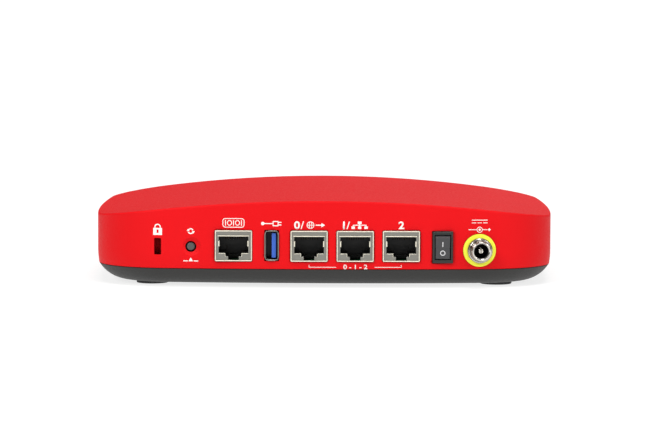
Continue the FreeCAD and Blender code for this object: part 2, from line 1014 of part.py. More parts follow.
def jack_contacts(x):
    """Eight wires along the roof that fold back and slope down to meet the plug."""
    start = jack_front_y(x) + jack_plate_recess + sheet
    roof = board_top + jack_mouth_high + contact_rise
    end = start + jack_cavity_depth + 1
    wire = contact_wire
    bent = [
        (end, roof),
        (start + contact_fold, roof),
        (start + contact_fold - wire, roof - wire),
        (start + contact_tip_back, roof - contact_tip_drop),
        (start + contact_tip_back, roof - contact_tip_drop + wire),
        (start + contact_root_back, roof - wire),
        (end, roof - wire),
    ]
    half = contact_width / 2
    return Part.makeCompound(
        [plate_yz(bent, x + offset - half, x + offset + half) for offset in contact_offsets()]
    )


def usb_shell():
    front = rear_wall_y(usb_x) - usb_proud
    back = front + usb_length
    z = board_top + usb_rise
    skin = soft_block(usb_x, z, usb_width, usb_height, front, back, usb_corner)
    hollow = soft_block(
        usb_x,
        z,
        usb_width - 2 * sheet,
        usb_height - 2 * sheet,
        front - 1,
        back - sheet,
        usb_corner - sheet,
    )
    pieces = [skin.cut(hollow)]
    flare, reach = usb_flare, usb_flare_reach
    root = front + usb_flare_root
    half_x, half_z = usb_width / 2, usb_height / 2
    for side in (-1, 1):
        lip = [
            (half_x - sheet, root),
            (half_x + flare - sheet, front - reach),
            (half_x + flare, front - reach),
            (half_x, root),
        ]
        lip = [(usb_x + side * a, b) for a, b in lip]
        pieces.append(plate_xy(lip, z - usb_side_lip, z + usb_side_lip))
        lip = [
            (root, half_z - sheet),
            (front - reach, half_z + flare - sheet),
            (front - reach, half_z + flare),
            (root, half_z),
        ]
        lip = [(a, z + side * b) for a, b in lip]
        pieces.append(plate_yz(lip, usb_x - usb_end_lip, usb_x + usb_end_lip))
    bottom = z - half_z
    foot_z = board_top - leg_length
    for place in usb_leg_places:
        y = front + place
        for side in (-1, 1):
            outer = usb_x + side * half_x
            inner = outer - side * sheet
            low, high = min(outer, inner), max(outer, inner)
            pieces.append(block(low, high, y, y + usb_leg_depth, foot_z, bottom + leg_root))
    return joined(pieces)


def usb_tongue():
    front = rear_wall_y(usb_x) - usb_proud
    z = board_top + usb_rise
    root = front + tongue_recess + tongue_length
    blade = soft_block(
        usb_x + tongue_offset,
        z,
        tongue_thickness,
        2 * tongue_half_height,
        front + tongue_recess,
        root + 1,
        tongue_corner,
    )
    stock = centred(
        usb_x,
        z,
        usb_width - 2 * sheet - 0.1,
        usb_height - 2 * sheet - 2 * (usb_corner - sheet),
        root,
        front + usb_length - sheet - 0.05,
    )
    return joined([blade, stock])


def usb_contacts():
    front = rear_wall_y(usb_x) - usb_proud
    z = board_top + usb_rise
    face = usb_x + tongue_offset - tongue_thickness / 2
    root = front + tongue_recess + tongue_length
    strips = []
    start = front + tongue_recess + long_strip_recess
    half = long_strip_width / 2
    for place in long_strip_places:
        low, high = z + place - half, z + place + half
        strips.append(block(face - long_strip_thickness, face, start, root, low, high))
    start = root - short_strip_length
    half = short_strip_width / 2
    for place in short_strip_places:
        low, high = z + place - half, z + place + half
        strips.append(block(face - short_strip_thickness, face, start, root, low, high))
    return Part.makeCompound(strips)


# ================================================================ power switch
def pivot_y():
    rest = math.radians(rocker_swing / 2)
    return switch_seat_y() - bezel_thickness + rocker_recess + rocker_face_offset * math.cos(rest)


def switch_housing():
    seat = switch_seat_y()
    z = part_z + switch_rise
    front = seat - bezel_thickness
    bezel = centred(switch_x, z, bezel_width, bezel_height, front, seat)
    rounded = edges_along(bezel, Vector(1, 0, 0)) + edges_along(bezel, Vector(0, 0, 1))
    rounded = [e for e in rounded if e.BoundBox.YMax < front + hair]
    bezel = bezel.makeFillet(bezel_edge, rounded)
    body = centred(
        switch_x, z, switch_body_width, switch_body_height, seat - 0.2, seat + switch_body_depth
    )
    cavity = centred(
        switch_x,
        z,
        rocker_opening_width,
        rocker_opening_height,
        front - 1,
        front + rocker_cavity_depth,
    )
    holes = [
        rod_x(
            pivot_y(),
            z,
            trunnion_radius + trunnion_gap,
            switch_x - rocker_width / 2 - trunnion_reach - trunnion_end_gap,
            switch_x + rocker_width / 2 + trunnion_reach + trunnion_end_gap,
        )
    ]
    slots = [
        centred(
            switch_x,
            z + s * tab_spacing / 2,
            tab_width,
            tab_thickness,
            seat + switch_body_depth - tab_root,
            seat + switch_body_depth + 1,
        )
        for s in (-1, 1)
    ]
    return joined([bezel, body]).cut([cavity] + holes + slots)


def power_rocker():
    """Shallow V of two faces that tips about its trunnions. The lower half is pressed in."""
    z = part_z + switch_rise
    py = pivot_y()
    half_swing = math.radians(rocker_swing / 2)
    tip = rocker_half_height
    tip_y = -rocker_face_offset - tip * math.tan(half_swing)
    end_radius = math.hypot(tip, tip_y)
    back = rocker_end_back
    back_z = math.sqrt(end_radius**2 - back**2)
    root, tail = rocker_root_half, rocker_tail_half
    half = rocker_width / 2

    def p(y, up):
        return Vector(switch_x - half, py + y, z + up)

    edges = [
        Part.makeLine(p(-rocker_face_offset, 0), p(tip_y, tip)),
        Part.Arc(p(tip_y, tip), p(0, end_radius), p(back, back_z)).toShape(),
        Part.makeLine(p(back, back_z), p(back, root)),
        Part.makeLine(p(back, root), p(rocker_back, tail)),
        Part.makeLine(p(rocker_back, tail), p(rocker_back, -tail)),
        Part.makeLine(p(rocker_back, -tail), p(back, -root)),
        Part.makeLine(p(back, -root), p(back, -back_z)),
        Part.Arc(p(back, -back_z), p(0, -end_radius), p(tip_y, -tip)).toShape(),
        Part.makeLine(p(tip_y, -tip), p(-rocker_face_offset, 0)),
    ]
    body = Part.Face(Part.Wire(edges)).extrude(Vector(rocker_width, 0, 0))
    rim = [
        e
        for e in body.Edges
        if e.BoundBox.YMax < py - rocker_face_offset + hair
        and not (e.BoundBox.XLength > 1 and abs(e.BoundBox.Center.z - z) < 0.1)
    ]
    body = body.makeFillet(rocker_edge, rim)
    trunnions = rod_x(
        py, z, trunnion_radius, switch_x - half - trunnion_reach, switch_x + half + trunnion_reach
    )
    rocker = joined([body, trunnions])
    rocker.rotate(Vector(switch_x, py, z), Vector(1, 0, 0), rocker_swing / 2)
    return rocker


def tab_places():
    z = part_z + switch_rise
    return [z + s * tab_spacing / 2 for s in (-1, 1)]


def switch_terminals():
    back = switch_seat_y() + switch_body_depth
    return Part.makeCompound(
        [
            centred(switch_x, z, tab_width, tab_thickness, back - tab_root, back + tab_length)
            for z in tab_places()
        ]
    )


def lead_sleeves():
    """Insulated receptacles pushed over the switch's tabs."""
    back = switch_seat_y() + switch_body_depth
    shells = []
    for z in tab_places():
        body = soft_block(
            switch_x,
            z,
            sleeve_width,
            sleeve_height,
            back + sleeve_gap,
            back + sleeve_gap + sleeve_length,
            sleeve_corner,
        )
        slot = centred(switch_x, z, tab_width, tab_thickness, back, back + tab_length)
        shells.append(body.cut(slot))
    return Part.makeCompound(shells)


def lead(points):
    """A round wire along straight runs joined by tangent arcs."""
    edges = []
    start = points[0]
    for before, corner, after in zip(points, points[1:], points[2:]):
        arriving = (corner - before).normalize()
        leaving = (after - corner).normalize()
        turn = arriving.getAngle(leaving)
        run = min((corner - before).Length, (after - corner).Length)
        setback = lead_bend_share * run
        radius = setback / math.tan(turn / 2)
        bend_in = corner - arriving * setback
        bend_out = corner + leaving * setback
        towards = (leaving - arriving).normalize()
        centre = corner + towards * (radius / math.cos(turn / 2))
        middle = centre - towards * radius
        edges.append(Part.makeLine(start, bend_in))
        edges.append(Part.Arc(bend_in, middle, bend_out).toShape())
        start = bend_out
    edges.append(Part.makeLine(start, points[-1]))
    path = Part.Wire(edges)
    section = Part.Wire(Part.makeCircle(lead_radius, points[0], points[1] - points[0]))
    return path.makePipeShell([section], True, False)


def switch_lead(level, side):
    """From one receptacle back to the header, which it enters level."""
    start_y = switch_seat_y() + switch_body_depth + sleeve_gap + sleeve_length
    z = tab_places()[level]
    end = Vector(header_x + side * header_width / 4, header_front_y(), board_top + header_entry)
    level_run = Vector(0, lead_level_run, 0)
    start = Vector(switch_x, start_y, z)
    return lead([start, start + level_run, end - level_run, end])


def header_front_y():
    return header_y - header_depth / 2


def lead_header():
    body = block(
        header_x - header_width / 2,
        header_x + header_width / 2,
        header_y - header_depth / 2,
        header_y + header_depth / 2,
        board_top,
        board_top + header_height,
    )
    return joined([body] + header_pins(0, board_top - leg_length, board_top))


def header_pins(grow, z0, z1):
    """The header's legs, or with grow the holes for them in the board."""
    reach = header_pin_half + grow
    return [
        block(x - reach, x + reach, header_y - reach, header_y + reach, z0, z1)
        for x in (header_x - header_pin_side, header_x + header_pin_side)
    ]


# ================================================================ power inlet
def square_to_wall(shape):
    """Turns a piece of the inlet about its seat, so that it stands square to the bowed wall."""
    angle = math.degrees(math.asin(inlet_x / rear_face_radius))
    shape.rotate(Vector(inlet_x, inlet_seat_y(), 0), Vector(0, 0, 1), angle)
    return shape


def marker_ring():
    seat = inlet_seat_y()
    z = part_z + inlet_rise
    disc = rod_y(inlet_x, z, marker_ring_radius, seat - marker_ring_thickness, seat)
    return square_to_wall(disc.cut(rod_y(inlet_x, z, barrel_thread_radius + 0.1, seat - 2, seat + 1)))


def inlet_nut_front_y():
    return inlet_seat_y() - marker_ring_thickness - inlet_nut_thickness


def inlet_nut():
    seat = inlet_seat_y() - marker_ring_thickness
    z = part_z + inlet_rise
    front = seat - inlet_nut_thickness
    ring = rod_y(inlet_x, z, inlet_nut_radius, front, seat)
    ring = ring.makeChamfer(inlet_nut_chamfer, ring_edges(ring, inlet_x, z, inlet_nut_radius, front))
    across = 2 * inlet_nut_radius + 1
    notch = centred(inlet_x, z, across, nut_notch_width, front - 1, front + nut_notch_depth)
    bore = rod_y(inlet_x, z, barrel_thread_radius + thread_gap, front - 1, seat + 1)
    return square_to_wall(ring.cut([notch, bore]))


def inlet_flange_y():
    """Inside face of the cover at the inlet's seat."""
    return inlet_seat_y() + cover_wall


def inlet_barrel():
    seat = inlet_seat_y()
    z = part_z + inlet_rise
    front = seat - barrel_reach
    back = inlet_flange_y() + barrel_flange_thickness
    tube = rod_y(inlet_x, z, barrel_radius, front, back)
    tube = tube.makeFillet(barrel_edge, ring_edges(tube, inlet_x, z, barrel_radius, front))
    thread = rod_y(inlet_x, z, barrel_thread_radius, inlet_nut_front_y(), back)
    flange = rod_y(inlet_x, z, barrel_flange_radius, inlet_flange_y(), back)
    body = joined([tube, thread, flange])
    bore = rod_y(inlet_x, z, barrel_bore_radius, front - 1, back + 1)
    relief = rod_y(inlet_x, z, lining_radius, front + barrel_lip, back + 1)
    body = body.cut([bore, relief])
    rim = ring_edges(body, inlet_x, z, barrel_bore_radius, front)
    return square_to_wall(body.makeChamfer(barrel_edge, rim))


def inlet_body():
    z = part_z + inlet_rise
    start = inlet_flange_y() + barrel_flange_thickness
    half = inlet_body_width / 2
    case = block(
        inlet_x - half, inlet_x + half, start, start + inlet_body_depth, board_top, z + half
    )
    nose = rod_y(
        inlet_x,
        z,
        lining_radius - thread_gap,
        inlet_seat_y() - barrel_reach + barrel_lip,
        start + 1,
    )
    bore = rod_y(
        inlet_x,
        z,
        lining_bore_radius,
        inlet_seat_y() - barrel_reach - 1,
        start + inlet_bore_depth,
    )
    return square_to_wall(joined([case, nose]).cut(bore))


def inlet_pin():
    """Centre pin, split across its tip so that it can spring."""
    z = part_z + inlet_rise
    front = inlet_seat_y() - barrel_reach + inlet_pin_recess
    back = inlet_flange_y() + barrel_flange_thickness + inlet_bore_depth
    pin = rod_y(inlet_x, z, inlet_pin_radius, front, back)
    pin = pin.makeFillet(inlet_pin_tip, ring_edges(pin, inlet_x, z, inlet_pin_radius, front))
    half = inlet_pin_split / 2
    deep = front + inlet_pin_split_depth
    reach = 2 * inlet_pin_radius
    split = block(inlet_x - half, inlet_x + half, front - 1, deep, z - reach, z + reach)
    return square_to_wall(pin.cut(split))


def inlet_blade_places():
    back = inlet_flange_y() + barrel_flange_thickness + inlet_body_depth
    return [(inlet_x + side, back - depth) for side, depth in blade_places]


def inlet_blade_blocks(grow, z0, z1):
    """The inlet's legs, or with grow the slots for them in the board."""
    half_x, half_y = blade_width / 2 + grow, blade_thickness / 2 + grow
    return [
        square_to_wall(block(x - half_x, x + half_x, y - half_y, y + half_y, z0, z1))
        for x, y in inlet_blade_places()
    ]


def inlet_blades():
    return Part.makeCompound(inlet_blade_blocks(0, board_top - leg_length, board_top))


# ================================================================ reset button
def reset_z():
    return part_z + reset_rise


def reset_button():
    y = rear_wall_y(reset_x) + reset_button_sink
    z = reset_z()
    cap = rod_y(reset_x, z, reset_button_radius, y, y + reset_button_length)
    cap = cap.makeFillet(reset_cap_edge, ring_edges(cap, reset_x, z, reset_button_radius, y))
    socket = rod_y(reset_x, z, reset_stem_radius, y + reset_socket_start, y + reset_button_length + 1)
    return cap.cut(socket)


def reset_case_y():
    start = rear_wall_y(reset_x) + reset_button_sink + reset_button_length
    return start + reset_case_front_gap


def reset_stem():
    y = rear_wall_y(reset_x) + reset_button_sink
    start, end = y + reset_socket_start, reset_case_y() + reset_stem_seat
    return rod_y(reset_x, reset_z(), reset_stem_radius, start, end)


def reset_switch_case():
    y = reset_case_y()
    half = reset_case_width / 2
    top = reset_z() + reset_case_over_axis
    body = block(reset_x - half, reset_x + half, y, y + reset_case_depth, board_top, top)
    end = y + reset_stem_seat + reset_travel + pin_gap
    room = rod_y(reset_x, reset_z(), reset_stem_radius + reset_stem_gap, y - 1, end)
    return body.cut(room)


def bracket_span():
    start = reset_case_y() + reset_bracket_inset
    return start, start + reset_case_depth - 2 * reset_bracket_inset


def reset_bracket():
    """Steel strap over the switch, soldered into the board."""
    y0, y1 = bracket_span()
    half = reset_case_width / 2
    top = reset_z() + reset_case_over_axis
    over = block(reset_x - half - sheet, reset_x + half + sheet, y0, y1, top, top + sheet)
    legs = []
    for side in (-1, 1):
        a, b = reset_x + side * half, reset_x + side * (half + sheet)
        legs.append(block(min(a, b), max(a, b), y0, y1, board_top - leg_length, top + sheet))
    return joined([over] + legs)


# ================================================================ board
def board_cuts():
    """Holes and slots for everything that goes through the board."""
    z0, z1 = board_under - 1, board_top + 1
    cuts = [rod_z(x, y, board_screw_radius + 0.2, z0, z1) for x, y in post_places()]
    for _, x in port_places():
        front = jack_front_y(x)
        for side in (-1, 1):
            cuts.append(rod_z(x + side * peg_side, front + peg_back, peg_radius + pin_gap, z0, z1))
            leg = x + side * (jack_width - sheet) / 2
            reach = sheet / 2 + pin_gap
            y = front + jack_leg_back
            y0, y1 = y - pin_gap, y + jack_leg_depth + pin_gap
            cuts.append(block(leg - reach, leg + reach, y0, y1, z0, z1))
    front = rear_wall_y(usb_x) - usb_proud
    for place in usb_leg_places:
        y0, y1 = front + place - pin_gap, front + place + usb_leg_depth + pin_gap
        for side in (-1, 1):
            leg = usb_x + side * (usb_width - sheet) / 2
            reach = sheet / 2 + pin_gap
            cuts.append(block(leg - reach, leg + reach, y0, y1, z0, z1))
    cuts += inlet_blade_blocks(pin_gap, z0, z1)
    cuts += header_pins(pin_gap, z0, z1)
    y0, y1 = bracket_span()
    for side in (-1, 1):
        leg = reset_x + side * (reset_case_width + sheet) / 2
        reach = sheet / 2 + pin_gap
        cuts.append(block(leg - reach, leg + reach, y0 - pin_gap, y1 + pin_gap, z0, z1))
    for sx, sy in pin_corners:
        x, y = chip_x + sx * pin_spread, chip_y + sy * pin_spread
        cuts.append(rod_z(x, y, push_pin_radius + pin_gap, z0, z1))
    return cuts


def main_board():
    lip_inner = cover_wall + lip_gap + lip_thickness
    plan = slab(lip_inner + board_gap, board_under, board_top)
    side = half_width - board_side_margin
    window = block(
        -side, side, rear_y, front_y - board_front_margin, board_under - 1, board_top + 1
    )
    return plan.common(window).cut(board_cuts())


def on_board(x, y, width, depth, height, lift=0.0, corner=0.0):
    """A block that stands on the board, centred on x and y."""
    z = board_top + lift
    body = block(x - width / 2, x + width / 2, y - depth / 2, y + depth / 2, z, z + height)
    return body.makeFillet(corner, edges_along(body, Vector(0, 0, 1))) if corner else body


def heat_sink():
    z = board_top + chip_height + pad_height
    half = sink_size / 2
    body = block(
        chip_x - half, chip_x + half, chip_y - half, chip_y + half, z, z + sink_height
    )
    pitch = (sink_size - fin_thickness) / (fin_count - 1)
    cuts = []
    for n in range(fin_count - 1):
        x = chip_x - half + fin_thickness + n * pitch
        cuts.append(
            block(
                x,
                x + pitch - fin_thickness,
                chip_y - half - 1,
                chip_y + half + 1,
                z + sink_base,
                z + sink_height + 1,
            )
        )
    for sx, sy in pin_corners:
        x, y = chip_x + sx * pin_spread, chip_y + sy * pin_spread
        cuts.append(rod_z(x, y, push_pin_radius + pin_gap, z - 1, z + sink_base + 1))
        cuts.append(rod_z(x, y, push_pin_room, z + sink_base, z + sink_height + 1))
    return body.cut(cuts)


def heat_sink_pins():
    """Push pins that hold the heat sink down through the board."""
    z = board_top + chip_height + pad_height + sink_base
    pins = []
    for sx, sy in pin_corners:
        x, y = chip_x + sx * pin_spread, chip_y + sy * pin_spread
        shank = rod_z(x, y, push_pin_radius, board_under - push_pin_tail, z)
        head = rod_z(x, y, push_pin_head_radius, z, z + push_pin_head_height)
        pins.append(joined([shank, head]))
    return Part.makeCompound(pins)


def port_transformers():
    """One isolation transformer behind each network socket."""
    parts = []
    for _, x in port_places()[1:]:
        y = jack_front_y(x) + jack_length + transformer_back
        size = (transformer_width, transformer_depth, transformer_height)
        parts.append(on_board(x, y, *size, corner=transformer_corner))
    return Part.makeCompound(parts)


def capacitors():
    parts = []
    for n in range(row_count):
        x = capacitor_x + n * row_pitch
        can = rod_z(x, capacitor_y, capacitor_radius, board_top, board_top + capacitor_height)
        top = [e for e in can.Edges if e.BoundBox.ZMin > board_top + capacitor_height - hair]
        parts.append(can.makeFillet(capacitor_edge, top))
    return Part.makeCompound(parts)


def inductors():
    parts = []
    for n in range(row_count):
        x = inductor_x + n * row_pitch
        size = (inductor_size, inductor_size, inductor_height)
        parts.append(on_board(x, inductor_y, *size, corner=inductor_corner))
    return Part.makeCompound(parts)


def memory_chips():
    places = [(memory_x, memory_y + n * memory_pitch) for n in range(2)]
    return Part.makeCompound([on_board(x, y, *memory_size) for x, y in places])


def small_chips():
    return Part.makeCompound([on_board(*place) for place in small_chip_places])


def coin_cell_holder():
    cup = rod_z(cell_x, cell_y, holder_radius, board_top, board_top + holder_height)
    floor = board_top + cell_floor
    return cup.cut(rod_z(cell_x, cell_y, cell_radius + cell_gap, floor, floor + holder_height))


def coin_cell():
    floor = board_top + cell_floor
    body = rod_z(cell_x, cell_y, cell_radius, floor, floor + cell_thickness)
    top = [e for e in body.Edges if e.BoundBox.ZMin > floor + cell_thickness - hair]
    return body.makeFillet(cell_edge, top)


def crystal():
    return on_board(*crystal_place, corner=crystal_corner)


# ================================================================ indicators
def led_front_y():
    return front_y - board_front_margin


def light_pipe():
    z = board_top + pipe_rise
    start = led_front_y() + led_gap
    pipes = [rod_y(x, z, pipe_radius, start, front_wall_y(x)) for x in pipe_places()]
    places = pipe_places()
    bar_back = front_y - pipe_bar_back
    bar = block(
        places[0] - pipe_bar_end,
        places[-1] + pipe_bar_end,
        bar_back - pipe_bar_depth,
        bar_back,
        z - pipe_bar_height / 2,
        z + pipe_bar_height / 2,
    )
    return joined([bar] + pipes)


def indicator_leds():
    y = led_front_y()
    return Part.makeCompound(
        [
            block(
                x - led_size / 2,
                x + led_size / 2,
                y - led_depth,
                y,
                board_top,
                board_top + pipe_rise + led_size / 2,
            )
            for x in pipe_places()
        ]
    )


def build():
    """Every sub-part by its name."""
    parts = {
        "top_cover": top_cover(),
        "base_tray": base_tray(),
        "case_screws": case_screws(),
        "main_board": main_board(),
        "board_screws": board_screws(),
        "usb_shell": usb_shell(),
        "usb_tongue": usb_tongue(),
        "usb_contacts": usb_contacts(),
        "switch_housing": switch_housing(),
        "power_rocker": power_rocker(),
        "switch_terminals": switch_terminals(),
        "lead_sleeves": lead_sleeves(),
        "switch_lead_live": switch_lead(1, 1),
        "switch_lead_return": switch_lead(0, -1),
        "lead_header": lead_header(),
        "inlet_marker_ring": marker_ring(),
        "inlet_nut": inlet_nut(),
        "inlet_barrel": inlet_barrel(),
        "inlet_body": inlet_body(),
        "inlet_pin": inlet_pin(),
        "inlet_blades": inlet_blades(),
        "reset_button": reset_button(),
        "reset_stem": reset_stem(),
        "reset_switch_case": reset_switch_case(),
        "reset_bracket": reset_bracket(),
        "processor": on_board(chip_x, chip_y, chip_size, chip_size, chip_height),
        "thermal_pad": on_board(chip_x, chip_y, chip_size, chip_size, pad_height, chip_height),
        "heat_sink": heat_sink(),
        "heat_sink_pins": heat_sink_pins(),
        "network_chip": on_board(*network_chip_place),
        "port_transformers": port_transformers(),
        "capacitors": capacitors(),
        "inductors": inductors(),
        "memory_chips": memory_chips(),
        "small_chips": small_chips(),
        "coin_cell_holder": coin_cell_holder(),
        "coin_cell": coin_cell(),
        "crystal": crystal(),
        "light_pipe": light_pipe(),
        "indicator_leds": indicator_leds(),
    }
    for name, (x, y) in foot_places().items():
        parts[name] = foot(x, y)
    for name, x in port_places():
        parts[name + "_shield"] = jack_shield(x)
        parts[name + "_insert"] = jack_insert(x)
        parts[name + "_contacts"] = jack_contacts(x)
    return parts


def centred_over_ground(parts):
    """Moves every sub-part back by half of what the inlet's barrel stands out of the case."""
    tip = parts["inlet_barrel"].optimalBoundingBox().YMin
    step = Vector(0, -(min(tip, rear_y) + front_y) / 2, 0)
    print("moved back by %.4f mm" % step.y)
    return {name: shape.translated(step) for name, shape in parts.items()}


def export(parts):
    os.makedirs("parts", exist_ok=True)
    for name, shape in parts.items():
        solids = shape.Solids
        if not shape.isValid() or not solids or min(s.Volume for s in solids) <= 0:
            raise ValueError(name + " is not a sound solid")
        kept = solids[0] if len(solids) == 1 else Part.makeCompound(solids)
        kept.exportStep(os.path.join("parts", name + ".step"))
        print("%-26s %2d solids %10.1f mm3" % (name, len(solids), shape.Volume))


export(centred_over_ground(build()))
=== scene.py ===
import bpy
import json
import math
from mathutils import Matrix, Vector


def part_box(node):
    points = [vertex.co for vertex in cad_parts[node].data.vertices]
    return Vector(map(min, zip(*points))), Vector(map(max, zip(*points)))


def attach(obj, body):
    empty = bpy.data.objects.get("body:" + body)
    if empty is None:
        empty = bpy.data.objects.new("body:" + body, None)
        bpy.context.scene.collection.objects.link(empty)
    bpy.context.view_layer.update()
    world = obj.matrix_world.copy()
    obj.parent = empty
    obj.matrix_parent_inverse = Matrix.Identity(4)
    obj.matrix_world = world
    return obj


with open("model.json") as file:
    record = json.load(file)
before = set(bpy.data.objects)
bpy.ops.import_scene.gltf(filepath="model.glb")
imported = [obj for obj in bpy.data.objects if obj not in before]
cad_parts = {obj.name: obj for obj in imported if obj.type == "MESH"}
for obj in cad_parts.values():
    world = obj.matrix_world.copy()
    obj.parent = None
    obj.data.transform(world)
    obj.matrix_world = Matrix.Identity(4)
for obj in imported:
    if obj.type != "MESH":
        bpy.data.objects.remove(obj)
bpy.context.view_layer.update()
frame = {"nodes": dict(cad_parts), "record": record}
nodes = frame["nodes"]
mm = 0.001
weld = 0.001 * mm  # points nearer than this are one
print("frame loaded:", len(nodes), "nodes")


# looks at the connector face from a little above it
camera = {
    "behind": 1546 * mm,  # from the connector face's furthest point
    "height": 151.5 * mm,
    "sideways": 0.3 * mm,
    "pitch": 4.43,  # degrees below level
    "roll": 0.2,
    "lens": 196.4,  # on a 36 mm sensor
}

lights = {
    # direction the light comes from (round from the connector face, above level) in degrees,
    # how wide it looks in degrees, and its strength
    "overheadPanel": (14, 70, 30, 1.5),
    "leftPanel": (-38, 32, 24, 1.45),
    "rightPanel": (46, 26, 20, 0.8),
    "backPanel": (165, 42, 40, 0.4),
}

sky = {
    # how bright the studio is level with the object and overhead,
    # and the heights between which one becomes the other
    "level": 0.07,
    "overhead": 0.34,
    "from": 0.05,
    "to": 0.6,
}


def hexToLinear(code):
    shares = [int(code[i:i + 2], 16) / 255 for i in (1, 3, 5)]
    return [s / 12.92 if s <= 0.04045 else ((s + 0.055) / 1.055) ** 2.4 for s in shares] + [1]


def addNode(material, kind, settings={}, links={}):
    # one node, its settings by socket or property name, and the sockets that feed it
    node = material.node_tree.nodes.new(kind)
    for key, value in settings.items():
        if isinstance(key, int) or key in node.inputs:
            node.inputs[key].default_value = value
        else:
            setattr(node, key, value)
    for key, source in links.items():
        material.node_tree.links.new(source, node.inputs[key])
    return node


floorLook = {
    "size": 40,
    "paper": "#8C8C8B",
    "roughness": 0.9,
    "shine": 0.1,
    "glow": 0.78,  # a light table: next to no shadow
}


def placeCamera(setting):
    data = bpy.data.cameras.new("viewCamera")
    data.lens = setting["lens"]
    data.clip_end = 60  # past the floor's far edge
    eye = bpy.data.objects.new("viewCamera", data)
    bpy.context.scene.collection.objects.link(eye)
    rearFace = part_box("top_cover")[0].y
    place = Vector((setting["sideways"], rearFace - setting["behind"], setting["height"]))
    tilt = Matrix.Rotation(math.radians(90 - setting["pitch"]), 4, "X")
    roll = Matrix.Rotation(math.radians(setting["roll"]), 4, "Z")
    eye.matrix_world = Matrix.Translation(place) @ tilt @ roll
    bpy.context.scene.camera = eye


def placeLights(setting):
    for name, (around, above, wide, strength) in setting.items():
        data = bpy.data.lights.new(name, "SUN")
        data.angle = math.radians(wide)
        data.energy = strength
        lamp = bpy.data.objects.new(name, data)
        bpy.context.scene.collection.objects.link(lamp)
        lamp.rotation_euler = (math.radians(90 - above), 0, math.radians(around))


def layFloor(look):
    bpy.ops.object.select_all(action="DESELECT")
    bpy.ops.mesh.primitive_plane_add(size=look["size"])
    floor = bpy.context.object
    floor.name = "studioFloor"
    paper = bpy.data.materials.new("white acrylic light table")
    paper.use_nodes = True
    shader = paper.node_tree.nodes["Principled BSDF"]
    shader.inputs["Base Color"].default_value = hexToLinear(look["paper"])
    shader.inputs["Roughness"].default_value = look["roughness"]
    shader.inputs["Specular IOR Level"].default_value = look["shine"]
    shader.inputs["Emission Color"].default_value = (1, 1, 1, 1)
    shader.inputs["Emission Strength"].default_value = look["glow"]
    floor.data.materials.append(paper)


def lightWorld(setting):
    # darker at eye level than overhead, which gives the bright metal its dark bands
    world = bpy.data.worlds.new("studio")
    world.use_nodes = True
    backdrop = world.node_tree.nodes["Background"]
    backdrop.inputs["Color"].default_value = (1, 1, 1, 1)
    place = addNode(world, "ShaderNodeTexCoord").outputs["Generated"]
    height = addNode(world, "ShaderNodeSeparateXYZ", {}, {"Vector": place}).outputs["Z"]
    strength = addNode(
        world,
        "ShaderNodeMapRange",
        {
            "From Min": setting["from"],
            "From Max": setting["to"],
            "To Min": setting["level"],
            "To Max": setting["overhead"],
        },
        {"Value": height},
    )
    world.node_tree.links.new(strength.outputs["Result"], backdrop.inputs["Strength"])
    bpy.context.scene.world = world


bpy.context.scene.view_settings.view_transform = "Standard"
placeCamera(camera)
placeLights(lights)
layFloor(floorLook)
lightWorld(sky)
print("camera, floor and lights placed")


def startMaterial(name, settings):
    material = bpy.data.materials.new(name)
    material.use_nodes = True
    shader = material.node_tree.nodes["Principled BSDF"]
    for key, value in settings.items():
        shader.inputs[key].default_value = value
    place = addNode(material, "ShaderNodeTexCoord").outputs["Object"]
    return material, shader, place


def perMetre(sizeMm):
    # a noise or wave texture's scale for features of a size in millimetres
    return 1000 / sizeMm


def mixedColour(material, share, first, second):
    mix = addNode(
        material,
        "ShaderNodeMix",
        {"data_type": "RGBA", 6: hexToLinear(first), 7: hexToLinear(second)},
        {0: share},
    )
    return mix.outputs[2]


# painted shade in hollows: the openness at which it is darkest and at which it is gone, and how
# dark it paints the colour
hollow = {"shut": 0.35, "open": 0.95, "darkest": 0.35}


def paintedHollowShade(material, colour, sizeMm):
    # painted shade: holes and dishes of about this size are painted darker in colour, as they hold
    # less of the soft light than the open face
    openness = addNode(
        material, "ShaderNodeAmbientOcclusion", {"samples": 8, "Distance": sizeMm * mm}
    )
    shade = addNode(
        material,
        "ShaderNodeMapRange",
        {
            "From Min": hollow["shut"],
            "From Max": hollow["open"],
            "To Min": hollow["darkest"],
            "To Max": 1.0,
        },
        {"Value": openness.outputs["AO"]},
    )
    mix = addNode(
        material,
        "ShaderNodeMix",
        {"data_type": "RGBA", "blend_type": "MULTIPLY", 0: 1.0},
        {6: colour, 7: shade.outputs["Result"]},
    )
    return mix.outputs[2]


def glossAndBump(material, shader, pattern, look, spread, strength):
    # a pattern's light and dark parts differ in gloss and height, and edges catch the light
    tree = material.node_tree
    gloss = addNode(
        material,
        "ShaderNodeMapRange",
        {
            "From Min": 0.3,
            "From Max": 0.7,
            "To Min": look["roughness"] - spread,
            "To Max": look["roughness"] + spread,
        },
        {"Value": pattern},
    )
    tree.links.new(gloss.outputs["Result"], shader.inputs["Roughness"])
    edge = addNode(material, "ShaderNodeBevel", {"samples": 4, "Radius": look["edgeMm"] * mm})
    bump = addNode(
        material,
        "ShaderNodeBump",
        {"Strength": strength, "Distance": look["depthMm"] * mm},
        {"Height": pattern, "Normal": edge.outputs["Normal"]},
    )
    tree.links.new(bump.outputs["Normal"], shader.inputs["Normal"])


